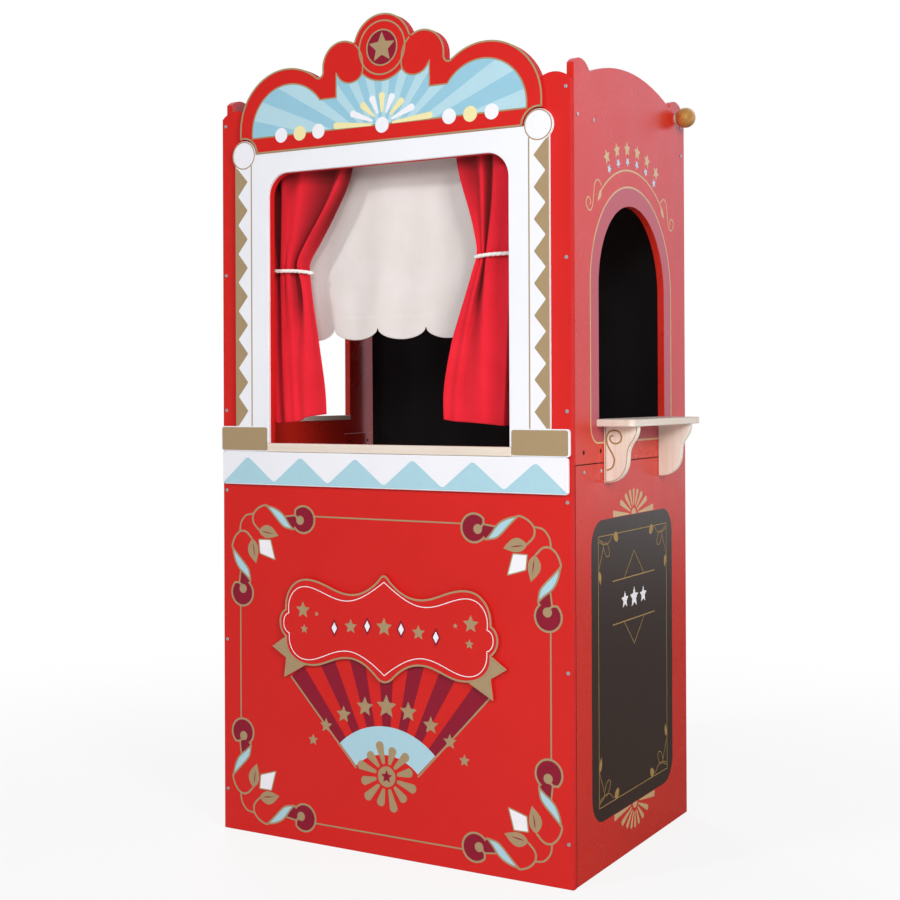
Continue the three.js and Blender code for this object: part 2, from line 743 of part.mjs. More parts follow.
sides.forEach(({ name, sign }) => {
  const sideScrew = ([along, up]) => screwAlongX(board + screwBite, outerFace(sign), along, up, -sign);
  stretcherScrews.forEach((at, index) => place(`stretcher_screw_${name}_${index + 1}`, sideScrew(at), zinc));
  railScrews.forEach((at, index) => place(`rail_screw_${name}_${index + 1}`, sideScrew(at), zinc));
});

bracketMiddles.forEach((along, index) => {
  const fastener = screwAlongX(board + screwBite, innerHalf, along, bracketScrewHeight, 1);
  place(`bracket_screw_${index ? "back" : "front"}`, fastener, zinc);
});

// Rods and the gold balls on the backdrop's rod
const socketReach = innerHalf + rodSocket - seam;
place("curtain_rod", barAlongX(rodRadius, -socketReach, socketReach, curtainDepth, rodHeight), wood);
place("screen_rod", barAlongX(rodRadius, -socketReach, socketReach, screenDepth, rodHeight), wood);

const ballCentre = halfWidth + ballGap + ballRadius;
const ballSocketFloor = halfWidth + ballGap + ballSocket;
const backdropRodEnd = ballSocketFloor - seam;
place(
  "backdrop_rod",
  barAlongX(backdropRodRadius, -backdropRodEnd, backdropRodEnd, backdropDepth, backdropHeight),
  wood,
);
sides.forEach(({ name, sign }) => {
  const ball = new THREE.SphereGeometry(ballRadius, ballSides, ballRings);
  ball.rotateZ(Math.PI / 2).translate(sign * ballCentre, backdropDepth, backdropHeight);
  const ends = [sign * halfWidth, sign * ballSocketFloor].sort((one, other) => one - other);
  const bore = barAlongX(backdropRodRadius + seam, ...ends, backdropDepth, backdropHeight);
  place(`ball_finial_${name}`, cut(ball, [bore]), gold);
});

// A sheet of cloth as a thin closed body. at(u, v) gives the middle of the cloth, with u from 0 to 1
// across and v from 0 at the top to 1 at the hem; half the thickness lies on each side along Y.
function sheet(at, columns, rows, thickness) {
  const points = [];
  for (let row = 0; row <= rows; row += 1) {
    const v = row / rows;
    const line = Array.from({ length: columns + 1 }, (unused, column) => at(column / columns, v));
    const front = line.map(([across, along, up]) => [across, along - thickness / 2, up]);
    const back = line.map(([across, along, up]) => [across, along + thickness / 2, up]);
    points.push(...front, ...back.reverse());
  }
  const around = 2 * (columns + 1);
  const faces = gridFaces(rows + 1, around, false, true);
  const last = rows * around;
  for (let column = 0; column < columns; column += 1) {
    const opposite = around - 1 - column;
    faces.push(column, column + 1, opposite, opposite, column + 1, opposite - 1);
    faces.push(last + column, last + opposite, last + column + 1);
    faces.push(last + opposite, last + opposite - 1, last + column + 1);
  }
  return meshOf(points, faces);
}

// The sleeve sewn at the top of a cloth, round its rod
function sleeved(cloth, from, to, rod, along, up, thickness) {
  const sleeve = barAlongX(rod + sleeveSlack + thickness, from, to, along, up);
  const bore = barAlongX(rod + sleeveSlack, from - overrun, to + overrun, along, up);
  return cut(join([cloth, sleeve]), [bore]);
}

// A curtain drawn in at its waist by a tie rope. Its edges run from the rod to the waist and on to
// the hem as smooth steps, and its folds are a cosine across, deeper towards the hem.
const smooth = (share) => share * share * (3 - 2 * share);
const mix = (from, to, share) => from + (to - from) * share;

function curtain(sign, shape) {
  const top = rodHeight;
  const waist = rodHeight - shape.waistDrop;
  const hemOuter = sillHeight + curtainHemGap;
  const edges = (up) => {
    if (up > waist) {
      const share = smooth((top - up) / (top - waist));
      const outer = mix(curtainTopOuter, shape.waist + shape.waistWidth, share);
      return [outer, mix(shape.top, shape.waist, share)];
    }
    const share = smooth((waist - up) / (waist - hemOuter));
    return [
      mix(shape.waist + shape.waistWidth, shape.hem + shape.hemWidth, share),
      mix(shape.waist, shape.hem, share),
    ];
  };
  const at = (u, v) => {
    const below = (v - waistRowShare) / (1 - waistRowShare);
    const level = below < 0 ? mix(top, waist, v / waistRowShare) : mix(waist, hemOuter, below);
    const up = level + shape.hemLift * Math.max(0, below) ** 2 * u;
    const [outer, inner] = edges(level);
    const bunched = Math.exp(-(((v - waistRowShare) / bunchSpreadShare) ** 2));
    const rounded = mix(1, gatherShare * Math.sqrt(1 - (2 * u - 1) ** 2), bunched);
    const fold = curtainFoldDepth * rounded * Math.cos(2 * Math.PI * curtainFolds * u);
    return [sign * mix(outer, inner, u), curtainDepth + fold, up];
  };
  const mirroredAt = (u, v) => at(1 - u, v);
  const cloth = sheet(sign < 0 ? at : mirroredAt, curtainFolds * foldSamples, curtainRows, curtainThickness);
  const ends = [sign * curtainTopOuter, sign * shape.top].sort((one, other) => one - other);
  return sleeved(cloth, ...ends, rodRadius, curtainDepth, rodHeight, clothThickness);
}

// A closed ring of rope round a curtain's waist
function tieRope(sign, shape) {
  const middle = sign * (shape.waist + shape.waistWidth / 2);
  const across = shape.waistWidth / 2 + curtainThickness / 2 + ropeGap + ropeRadius;
  const along = curtainFoldDepth + curtainThickness / 2 + ropeGap + ropeRadius;
  const up = rodHeight - shape.waistDrop;
  const points = [];
  for (let step = 0; step < ropeSteps; step += 1) {
    const turn = (2 * Math.PI * step) / ropeSteps;
    const normal = new THREE.Vector2(Math.cos(turn) * along, Math.sin(turn) * across).normalize();
    for (let side = 0; side < ropeSides; side += 1) {
      const roll = (2 * Math.PI * side) / ropeSides;
      const out = ropeRadius * Math.cos(roll);
      points.push([
        middle + across * Math.cos(turn) + out * normal.x,
        curtainDepth + along * Math.sin(turn) + out * normal.y,
        up + ropeRadius * Math.sin(roll),
      ]);
    }
  }
  return meshOf(points, gridFaces(ropeSteps, ropeSides, true, true));
}

function tieToggle(sign, shape) {
  const toggle = new THREE.SphereGeometry(1, toggleSides, toggleRings);
  toggle.scale(toggleRadius, toggleRadius, toggleLength / 2);
  const outer = shape.waist + shape.waistWidth + curtainThickness / 2 + ropeGap + ropeRadius;
  const up = rodHeight - shape.waistDrop - ropeRadius - toggleLength / 2 - seam;
  return toggle.translate(sign * outer, curtainDepth, up);
}

function placeCurtain({ name, sign }, shares, waistDrop, hemLift) {
  const edges = Object.entries(shares).map(([edge, share]) => [edge, openingHalf * share]);
  const shape = { ...Object.fromEntries(edges), waistDrop, hemLift };
  place(`curtain_${name}`, curtain(sign, shape), curtainRed);
  place(`tie_rope_${name}`, tieRope(sign, shape), cord);
  place(`tie_toggle_${name}`, tieToggle(sign, shape), cord);
}

placeCurtain(sides[0], leftCurtainShares, leftWaistDrop, leftHemLift);
placeCurtain(sides[1], rightCurtainShares, rightWaistDrop, rightHemLift);

// The cream screen: a row of scallops along its hem
const screenHalf = innerHalf - screenSideGap;
function screenAt(u, v) {
  const top = rodHeight - rodRadius - sleeveSlack - clothThickness / 2;
  const within = (u * screenScallops) % 1;
  const scallop = scallopDepth * Math.sqrt(Math.max(0, 1 - (2 * within - 1) ** 2));
  const up = mix(top, rodHeight - screenDrop - scallop, v);
  const wave = screenWave * Math.sqrt(v) * Math.sin(Math.PI * screenScallops * u);
  return [mix(-screenHalf, screenHalf, u), screenDepth + wave, up];
}
const screenCloth = sheet(screenAt, screenScallops * scallopSamples, screenRows, clothThickness);
place(
  "screen_cloth",
  sleeved(screenCloth, -screenHalf, screenHalf, rodRadius, screenDepth, rodHeight, clothThickness),
  cream,
);

// The black backdrop: long soft waves, deeper towards its hem
const backdropHalf = innerHalf - backdropSideGap;
function backdropAt(u, v) {
  const top = backdropHeight - backdropRodRadius - sleeveSlack - clothThickness / 2;
  const wave = backdropWave * Math.sqrt(v) * Math.sin(2 * Math.PI * backdropWaves * u);
  return [mix(-backdropHalf, backdropHalf, u), backdropDepth + wave, mix(top, backdropFloorGap, v)];
}
const backdropCloth = sheet(backdropAt, backdropWaves * foldSamples, backdropRows, clothThickness);
place(
  "backdrop_cloth",
  sleeved(
    backdropCloth,
    -backdropHalf,
    backdropHalf,
    backdropRodRadius,
    backdropDepth,
    backdropHeight,
    clothThickness,
  ),
  black,
);

export default theatre;
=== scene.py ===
import math

import bpy
import numpy as np
from mathutils import Matrix, Vector
from mathutils.geometry import tessellate_polygon


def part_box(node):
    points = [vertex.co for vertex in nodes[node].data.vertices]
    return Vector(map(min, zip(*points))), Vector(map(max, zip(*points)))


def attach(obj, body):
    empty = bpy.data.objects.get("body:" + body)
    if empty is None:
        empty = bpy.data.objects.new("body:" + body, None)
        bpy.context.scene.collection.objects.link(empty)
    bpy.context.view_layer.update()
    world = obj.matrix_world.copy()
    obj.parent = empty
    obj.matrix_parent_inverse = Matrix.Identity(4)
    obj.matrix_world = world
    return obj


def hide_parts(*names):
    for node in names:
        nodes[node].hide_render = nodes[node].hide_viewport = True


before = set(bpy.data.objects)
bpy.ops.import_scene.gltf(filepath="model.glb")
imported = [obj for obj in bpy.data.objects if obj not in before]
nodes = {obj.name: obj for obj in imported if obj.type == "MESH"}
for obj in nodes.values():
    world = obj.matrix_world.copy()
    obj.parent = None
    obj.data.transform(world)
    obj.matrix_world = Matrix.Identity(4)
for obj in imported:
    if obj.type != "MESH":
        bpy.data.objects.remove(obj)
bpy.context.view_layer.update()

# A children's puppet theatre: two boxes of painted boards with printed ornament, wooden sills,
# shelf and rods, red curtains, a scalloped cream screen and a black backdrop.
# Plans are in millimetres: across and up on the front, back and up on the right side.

MM = 0.001

# How far out from the origin the boards' faces lie, as the solids have them
WALL_FACE = 6.0             # front walls
OVERLAY_FACE = 12.3         # boards glued on the front
SIDE_FACE = 328.5           # side walls
SIDE_MIDDLE = 229.5         # middle of the depth
INK = 0.15                  # thickness of one printed layer, thicker than the real one
INK_SEAT = 0.05             # how far a print reaches into its board
HAIR = 0.002                # keeps the areas of one print out of one plane
# Depth, height and radius of each rod
CURTAIN_ROD = (24.5, 1135.0, 6.0)
SCREEN_ROD = (47.5, 1135.0, 6.0)
BACKDROP_ROD = (424.5, 1219.0, 8.0)


# Plane figures

def polar(centre, reach, turn):
    """Points at centre + reach (cos, sin) of turn, in radians."""
    return np.column_stack([centre[0] + reach * np.cos(turn), centre[1] + reach * np.sin(turn)])


def arc(centre, radius, start, end, chord=2.2):
    """Points of equal steps from start to end, in degrees."""
    count = max(4, int(abs(math.radians(end - start)) * radius / chord) + 2)
    return polar(centre, radius, np.radians(np.linspace(start, end, count)))


def circle(centre, radius, chord=1.6):
    """The arc of a full turn without its last point."""
    return arc(centre, radius, 0, 360, chord)[:-1]


def smooth(points, closed=False, steps=7):
    """Catmull-Rom curve: between two points the cubic whose end slopes are half the chords of
    their neighbours."""
    p = np.array(points, float)
    ends = (p[-1:], p[:2]) if closed else (2 * p[:1] - p[1:2], 2 * p[-1:] - p[-2:-1])
    q = np.concatenate([ends[0], p, ends[1]])
    t = np.linspace(0, 1, steps, endpoint=False)[:, None]
    a, b, c, d = (q[i:len(q) - 3 + i][:, None] for i in range(4))
    curve = 0.5 * (2 * b + (c - a) * t + (2 * a - 5 * b + 4 * c - d) * t**2 + (3 * b - a - 3 * c + d) * t**3)
    curve = curve.reshape(-1, 2)
    return curve if closed else np.vstack([curve, p[-1:]])


def bezier(row, steps=10):
    """Cubic curve of four control points, without its last point."""
    t = np.linspace(0, 1, steps, endpoint=False)[:, None]
    a, b, c, d = np.array(row, float)
    return a * (1 - t)**3 + 3 * b * t * (1 - t)**2 + 3 * c * t**2 * (1 - t) + d * t**3


def eased(points, cut, closed=True, steps=4):
    """Each corner becomes the quadratic curve that leaves its sides the length cut before it."""
    p = np.array(points, float)
    back, ahead = np.roll(p, 1, 0) - p, np.roll(p, -1, 0) - p
    back = p + back / np.linalg.norm(back, axis=1)[:, None] * cut
    ahead = p + ahead / np.linalg.norm(ahead, axis=1)[:, None] * cut
    t = np.linspace(0, 1, steps)[None, :, None]
    curve = back[:, None] * (1 - t)**2 + 2 * p[:, None] * t * (1 - t) + ahead[:, None] * t**2
    if closed:
        return curve.reshape(-1, 2)
    return np.vstack([p[:1], curve[1:-1].reshape(-1, 2), p[-1:]])


def flipped(points, across=0.0):
    """Mirror image about the upright line at across, run through backwards."""
    return (np.array([2 * across, 0]) + np.array(points) * [-1, 1])[::-1]


def turned(points, centre, degrees):
    """Points turned about centre."""
    c, s = math.cos(math.radians(degrees)), math.sin(math.radians(degrees))
    return (np.array(points) - centre) @ np.array([[c, s], [-s, c]]) + centre


def star(centre, radius, tilt=0.0, share=0.46):
    """Five points at radius and five at share of it, in turn, with slightly rounded tips."""
    corner = np.arange(10)
    reach = radius * np.where(corner % 2, share, 1.0)
    return eased(polar(centre, reach, np.radians(90 + tilt + 36 * corner)), radius * 0.08)


def leaf(base, tip, width, bend=0.0):
    """Two sides from base to tip, half the width away at the fullest place, and both bent aside by
    bend times the sine of the way along."""
    base, tip = np.array(base, float), np.array(tip, float)
    along = tip - base
    side = np.array([-along[1], along[0]]) / np.linalg.norm(along)
    t = np.linspace(0, 1, 13)[:, None]
    full = np.sin(np.pi * t**0.8) * width / 2
    middle = base + along * t + side * bend * np.sin(np.pi * t)
    return np.vstack([middle - side * full, (middle + side * full)[-2:0:-1]])


def petal(centre, angle, root, tip, width, root_width=3.0):
    """A round end of the given width at tip and a narrow one at root, joined by straight sides."""
    narrow = arc((root + root_width / 2, 0), root_width / 2, 100, 260, 1.0)
    outline = np.vstack([arc((tip - width / 2, 0), width / 2, -80, 80, 1.2), narrow])
    return turned(outline + centre, np.array(centre, float), angle)


# Flat areas: points and counter-clockwise triangles

def filled(outline, *holes):
    """The inside of an outline, less its holes."""
    loops = [np.array(loop, float) for loop in (outline, *holes)]
    points = np.concatenate(loops)
    found = tessellate_polygon([[Vector((x, y, 0)) for x, y in loop] for loop in loops])
    return counter_clockwise(points, np.array(found, int))


def counter_clockwise(points, triangles):
    """Turns over each triangle whose signed area is negative and drops those without area."""
    a, b, c = (points[triangles[:, i]] for i in range(3))
    area = (b[:, 0] - a[:, 0]) * (c[:, 1] - a[:, 1]) - (b[:, 1] - a[:, 1]) * (c[:, 0] - a[:, 0])
    triangles = np.where(area[:, None] < 0, triangles[:, ::-1], triangles)
    return points, triangles[np.abs(area) > 1e-7]


def band(path, left, right=None, closed=False):
    """A printed line: each point of the path is moved along the mean normal of its two sides, by
    left to one side and by right to the other (half the width both ways where right is left
    out), more at a corner so that the width holds."""
    p = np.array(path, float)
    left, right = (left / 2, -left / 2) if right is None else (left, right)
    ahead = np.roll(p, -1, 0) - p
    back = p - np.roll(p, 1, 0)
    if not closed:
        ahead[-1], back[0] = back[-1], ahead[0]
    unit = [v / np.maximum(np.linalg.norm(v, axis=1), 1e-9)[:, None] for v in (ahead, back)]
    normal = [np.column_stack([-v[:, 1], v[:, 0]]) for v in unit]
    mean = normal[0] + normal[1]
    mean /= np.maximum((mean**2).sum(1), 0.5)[:, None] / 2
    points = np.vstack([p + mean * left, p + mean * right])
    n, first = len(p), np.arange(len(p) if closed else len(p) - 1)
    after = (first + 1) % n
    corners = (first, first + n, after + n), (first, after + n, after)
    return points, np.vstack([np.column_stack(three) for three in corners])


def halved(corners, place, way):
    """The part of a convex figure to the left of the line through place along way."""
    side = way[0] * (corners[:, 1] - place[1]) - way[1] * (corners[:, 0] - place[0])
    kept = []
    for here, there, a, b in zip(corners, np.roll(corners, -1, 0), side, np.roll(side, -1)):
        if a >= 0:
            kept.append(here)
        if (a >= 0) != (b >= 0):
            kept.append(here + (there - here) * a / (a - b))
    return np.array(kept).reshape(-1, 2)


def wedge(area, apex, start, end):
    """The part of an area between two rays from the apex: each triangle is cut by both rays."""
    first = (math.cos(math.radians(start)), math.sin(math.radians(start)))
    last = (-math.cos(math.radians(end)), -math.sin(math.radians(end)))
    points, triangles, count = [], [], 0
    for corners in area[0][area[1]]:
        part = halved(halved(corners, apex, first), apex, last)
        if len(part) > 2:
            triangles += [(count, count + i, count + i + 1) for i in range(1, len(part) - 1)]
            points.append(part)
            count += len(part)
    return counter_clockwise(np.concatenate(points), np.array(triangles))


# Pieces

# The directions in which a plan's across and an upright face look
FRONT = (1, 0, 0), (0, -1, 0)
RIGHT = (0, 1, 0), (1, 0, 0)
LEFT = (0, -1, 0), (-1, 0, 0)
BACK = (-1, 0, 0), (0, 1, 0)


def on_face(directions, distance):
    """Places a plan on the upright face that lies distance out from the origin: across along the
    first direction, up along Z, and raised along the second."""
    across, out = np.array(directions, float)
    return lambda flat, raised: flat[:, :1] * across + flat[:, 1:] * [0, 0, 1] + (distance + raised) * out


def image(areas, scale, shift=(0, 0)):
    """Areas with across and up multiplied by scale, 1 or -1 each, and then shifted. The triangles
    run backwards where that turns them over."""
    way = int(scale[0] * scale[1])
    return [(points * scale + shift, triangles[:, ::way]) for points, triangles in areas]


def placed(name, data):
    """An object in the scene, at the origin and unturned."""
    piece = bpy.data.objects.new(name, data)
    bpy.context.scene.collection.objects.link(piece)
    return piece


def made(name, points, faces, material, body="root", soft_shade=False):
    """A piece from points in millimetres, which rides on a body."""
    mesh = bpy.data.meshes.new(name)
    mesh.from_pydata(points * MM, [], faces.tolist())
    mesh.materials.append(material)
    mesh.polygons.foreach_set("use_smooth", np.full(len(mesh.polygons), soft_shade))
    mesh.update()
    piece = placed(name, mesh)
    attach(piece, body)
    return piece


def printed(name, place, layer, material, areas):
    """Flat areas printed on a board: each becomes a closed plate, its front as many ink layers
    proud as layer says, and its rim the edges that only one triangle has. Areas of one print
    differ in height by a hair, so that no two fronts lie in one plane."""
    points, faces, count = [], [], 0
    for index, (flat, triangles) in enumerate(areas):
        top = layer * INK + HAIR * index
        n = len(flat)
        edges = np.concatenate([triangles[:, [0, 1]], triangles[:, [1, 2]], triangles[:, [2, 0]]])
        keys = np.sort(edges, axis=1) @ np.array([n, 1])
        _, where, uses = np.unique(keys, return_index=True, return_counts=True)
        rim = edges[where[uses == 1]]
        points += [place(flat, top), place(flat, -INK_SEAT)]
        faces += [triangles + count, triangles[:, ::-1] + count + n,
                  np.column_stack([rim[:, 0], rim[:, 0] + n, rim[:, 1] + n]) + count,
                  np.column_stack([rim[:, 0], rim[:, 1] + n, rim[:, 1]]) + count]
        count += 2 * n
    return made(name, np.concatenate(points), np.concatenate(faces), material)


# Finishes

def linear(colour):
    """sRGB hex to linear light: c/12.92, or ((c + 0.055)/1.055)^2.4 above 0.04045."""
    c = np.array([int(colour[i:i + 2], 16) for i in (1, 3, 5)]) / 255
    return (*np.where(c <= 0.04045, c / 12.92, ((c + 0.055) / 1.055)**2.4).tolist(), 1.0)


def add(finish, kind, inputs=None, **settings):
    """Adds a node of a kind and gives its outputs. inputs are its sockets by name or number, each
    a value or an output to link."""
    node = finish.node_tree.nodes.new("ShaderNode" + kind)
    for name, value in settings.items():
        setattr(node, name, value)
    for name, value in (inputs or {}).items():
        if isinstance(value, bpy.types.NodeSocket):
            finish.node_tree.links.new(value, node.inputs[name])
        else:
            node.inputs[name].default_value = value
    return node.outputs


def join(finish, output, socket):
    finish.node_tree.links.new(output, socket)


def new_finish(name, roughness, **values):
    """A material with its shader: constant values go straight on the shader's sockets."""
    finish = bpy.data.materials.new(name)
    finish.use_nodes = True
    shader = finish.node_tree.nodes["Principled BSDF"]
    shader.inputs["Roughness"].default_value = roughness
    for socket, value in values.items():
        shader.inputs[socket.replace("_", " ")].default_value = value
    return finish, shader


def mixed(finish, amount, low, high):
    """Colour between low and high by amount; each is a hex colour or an output."""
    low, high = (linear(c) if isinstance(c, str) else c for c in (low, high))
    return add(finish, "Mix", {0: amount, 6: low, 7: high}, data_type="RGBA")[2]


def spots(finish, size, detail=2.0, stretch=(1, 1, 1), low=0.3, high=0.7, seed=0.0):
    """Noise from 0 to 1, its patches size millimetres wide, on Object coordinates."""
    where = add(finish, "TexCoord")["Object"]
    moved = {"Vector": where, "Location": (seed, seed, seed), "Scale": stretch}
    where = add(finish, "Mapping", moved)[0]
    noise = add(finish, "TexNoise", {"Vector": where, "Scale": 1000 / size, "Detail": detail})
    spread = {"Value": noise[0], "From Min": low, "From Max": high}
    return add(finish, "MapRange", spread)[0]


def relief(finish, shader, height, depth, strength=1.0, below=None):
    """Bump of the given depth in millimetres where height goes from 0 to 1."""
    inputs = {"Height": height, "Distance": depth * MM, "Strength": strength}
    if below is not None:
        inputs["Normal"] = below
    bump = add(finish, "Bump", inputs)[0]
    join(finish, bump, shader.inputs["Normal"])
    return bump


def sprayed_paint(name, colour, shade, roughness=0.6, bending=1.47, peel=0.006):
    """Satin lacquer sprayed on fibreboard: an even colour that drifts a little over a hand's
    width, a gloss that does so over 60 mm, and an orange-peel skin. The real peel is under 1 mm
    wide, too fine to show, so it is drawn 5 mm wide and peel millimetres deep, and not at all on
    the glossier side walls, where it lies flat."""
    finish, shader = new_finish(name, roughness, IOR=bending)
    join(finish, mixed(finish, spots(finish, 160, 3), colour, shade), shader.inputs["Base Color"])
    if peel:
        relief(finish, shader, spots(finish, 5, 3, seed=3), peel)
    drift = {"Value": spots(finish, 60, 3, seed=7), "To Min": roughness - 0.03, "To Max": roughness + 0.04}
    join(finish, add(finish, "MapRange", drift)[0], shader.inputs["Roughness"])
    return finish


def screen_ink(name, colour, shade, metallic=0.0, roughness=0.55, bending=1.5):
    """Screen-printed ink: an even opaque film whose mesh leaves a very faint mottle, about 12 mm
    wide here, and a slightly rough skin."""
    finish, shader = new_finish(name, roughness, Metallic=metallic, IOR=bending)
    join(finish, mixed(finish, spots(finish, 12, 4, seed=5), colour, shade), shader.inputs["Base Color"])
    relief(finish, shader, spots(finish, 3, 3, seed=1), 0.006)
    return finish


def lacquered_pine(name, along, light="#EFE6DC", dark="#E3D4C4", warm="#EADED0"):
    """Pale pine under clear lacquer: growth rings cut lengthways make bands 3 to 8 mm wide along
    the board, sanded nearly smooth. The short pores between them are under 0.5 mm wide in truth,
    and drawn about 1 mm wide so that they show."""
    finish, shader = new_finish(name, 0.5, IOR=1.47, Coat_Weight=0.1, Coat_Roughness=0.25)
    stretch = [tuple(share if axis == along else 1.0 for axis in range(3)) for share in (0.04, 0.03)]
    rings = spots(finish, 16, 3, stretch[0], 0.35, 0.68)
    pores = spots(finish, 2.2, 2, stretch[1], 0.4, 0.75, 2)
    tone = mixed(finish, spots(finish, 90, 2, seed=4), light, warm)
    tone = mixed(finish, rings, tone, dark)
    faint = add(finish, "Math", {0: pores, 1: 0.13}, operation="MULTIPLY")[0]
    join(finish, mixed(finish, faint, tone, "#B98E5C"), shader.inputs["Base Color"])
    under = relief(finish, shader, rings, 0.03)
    relief(finish, shader, pores, 0.04, 0.6, under)
    return finish


def threads(finish, spacing):
    """Plain weave on the cloth's UV map, which is in metres: the product of a sine across and one
    along, with the threads spacing millimetres apart."""
    where = add(finish, "UVMap", uv_map="cloth")[0]
    split = add(finish, "SeparateXYZ", {0: where})
    waves = []
    for axis in (0, 1):
        angle = {0: split[axis], 1: math.pi / (spacing * MM)}
        turn = add(finish, "Math", angle, operation="MULTIPLY")[0]
        waves.append(add(finish, "Math", {0: turn}, operation="SINE")[0])
    product = add(finish, "Math", dict(enumerate(waves)), operation="MULTIPLY")[0]
    return add(finish, "MapRange", {"Value": product, "From Min": -1.0})[0]


def woven_cotton(name, colour, shade, thread, crease, roughness=0.85, sheen=0.25, deep=None):
    """Plain woven cotton: threads 0.5 mm apart, drawn at the given spacing so that they show,
    soft creases from storing, crease millimetres wide, and a thin bright fuzz at grazing angles.
    Where a colour for the folds is given, a per-point attribute of the mesh mixes the colour towards
    it inside the folds: painted shade, standing in for the light lost between the layers."""
    finish, shader = new_finish(name, roughness, Sheen_Weight=sheen, Sheen_Roughness=0.5)
    weave = threads(finish, thread)
    tone = mixed(finish, spots(finish, 45, 4, seed=2), colour, shade)
    if deep:
        painted_fold_shade = add(finish, "Attribute", attribute_name="painted_fold_shade")["Fac"]
        tone = mixed(finish, painted_fold_shade, tone, deep)
    faint = add(finish, "Math", {0: weave, 1: 0.18}, operation="MULTIPLY")[0]
    join(finish, mixed(finish, faint, tone, shade), shader.inputs["Base Color"])
    creases = spots(finish, crease, 3, (1, 1, 0.6), 0.25, 0.8, 9)
    under = relief(finish, shader, creases, 1.2)
    relief(finish, shader, weave, 0.12, 0.6, under)
    return finish


def polished_metal(name, colour, shade, roughness, fine=1.2, metallic=1.0, **values):
    """Metal, or a lacquer with metal powder in it: the colour drifts with the film's thickness,
    and pits fine millimetres wide break the highlight."""
    finish, shader = new_finish(name, roughness, Metallic=metallic, **values)
    join(finish, mixed(finish, spots(finish, 9, 3), colour, shade), shader.inputs["Base Color"])
    relief(finish, shader, spots(finish, fine, 3), 0.006)
    return finish


red_lacquer = sprayed_paint("red satin lacquer on fibreboard", "#D41F1A", "#D01D18")
side_lacquer = sprayed_paint("red satin lacquer on side walls", "#D42B1E", "#CF291C", 0.28, 1.6, 0)
white_lacquer = sprayed_paint("white satin lacquer on fibreboard", "#F0F1F6", "#ECEDF3")
gold_ink = screen_ink("khaki gold printing ink", "#AC9470", "#AA926E", 0.05)
side_gold_ink = screen_ink("gold ink under the side walls' gloss", "#D2B382", "#CFB07F", 0.05, 0.28, 1.6)
side_blue_ink = screen_ink("blue ink under the side walls' gloss", "#B4DCEA", "#B1DAE8", 0.0, 0.28, 1.6)
brass_ink = screen_ink("brass gold printing ink", "#B39256", "#AE8C50", 0.2, 0.5)
crimson_ink = screen_ink("crimson printing ink", "#8E102E", "#8B0F2C")
pale_blue_ink = screen_ink("pale blue printing ink", "#B4D8E4", "#B2D6E2")
sky_blue_ink = screen_ink("sky blue printing ink", "#96C7DB", "#94C5D9")
band_blue_ink = screen_ink("light blue printing ink", "#ABD3E0", "#A9D1DE")
yellow_ink = screen_ink("straw yellow printing ink", "#F0E6AF", "#EEE3AA")
white_ink = screen_ink("white printing ink", "#F0F0F6", "#EEEEF4")
slate_ink = screen_ink("charcoal board ink", "#30231D", "#2C1F19", 0.0, 0.28, 1.6)
rose_ink = screen_ink("deep rose printing ink", "#BC4450", "#B8414D", 0.0, 0.28, 1.6)
pine_across = lacquered_pine("pale pine, grain across", 0)
pine_back = lacquered_pine("pale pine, grain front to back", 1)
# painted light: the brackets' pine is drawn paler than the rest, to make up for the dimmer light they get
# under the shelf
pine_up_painted_light = lacquered_pine("pale pine, grain upright", 2, "#F8F1E6", "#EDE1D0", "#F4EBDE")
# its folds are drawn darker, towards a deep red: painted shade
red_cotton = woven_cotton("red curtain cotton", "#EE2236", "#E41C2D", 1.1, 70, sheen=0.04, deep="#5E0A0D")
cream_cotton = woven_cotton("cream screen cotton", "#E6DFDC", "#E0D8D4", 1.3, 70, 0.9, 0.1)
black_cotton = woven_cotton("black backdrop cotton", "#101014", "#0B0B0E", 1.3, 90, 0.9, 0.1)
# the open joint between two boards is a gap that light doesn't reach: near black, without gloss
shadow_ink = screen_ink("dark of an open joint", "#1C0A0A", "#180808", 0.0, 0.8)
white_cord = woven_cotton("white cotton cord", "#FCFBF8", "#F3F1EA", 1.0, 8, 0.8, 0.1)
zinc_plate = polished_metal("zinc plated steel", "#E6E8EC", "#D4D7DC", 0.45, metallic=0.7)
black_oxide = polished_metal("black oxide steel", "#3A3434", "#2A2626", 0.4)
gold_lacquer = polished_metal("gold lacquer on turned wood", "#D6A25A", "#C48C44", 0.42, 6, 0.4,
                              Coat_Weight=0.7, Coat_Roughness=0.3)
# moulded plastic has an even colour and a slightly rough skin too
white_plastic = screen_ink("white moulded plastic", "#F4F3EF", "#F0EFEA", 0.0, 0.4)


def dress(finish, *names):
    """Gives CAD solids a finish."""
    for name in names:
        nodes[name].data.materials.clear()
        nodes[name].data.materials.append(finish)


dress(red_lacquer, "upper_front_panel", "lower_front_panel", "crown_board", "sign_board")
dress(side_lacquer, "upper_side_panel_left", "upper_side_panel_right", "lower_side_panel_left",
      "lower_side_panel_right", "back_rail", *[name for name in nodes if "joining_plate" in name])
dress(white_lacquer, "proscenium_board", "frieze_board")
dress(pine_across, "stage_sill", "front_stretcher", "curtain_rod", "screen_rod", "backdrop_rod")
dress(pine_back, "counter_shelf", "window_sill_left", "window_sill_right")
dress(pine_up_painted_light, "shelf_bracket_front", "shelf_bracket_back")
dress(gold_lacquer, "ball_finial_left", "ball_finial_right")
dress(zinc_plate, *[name for name in nodes if "screw" in name])


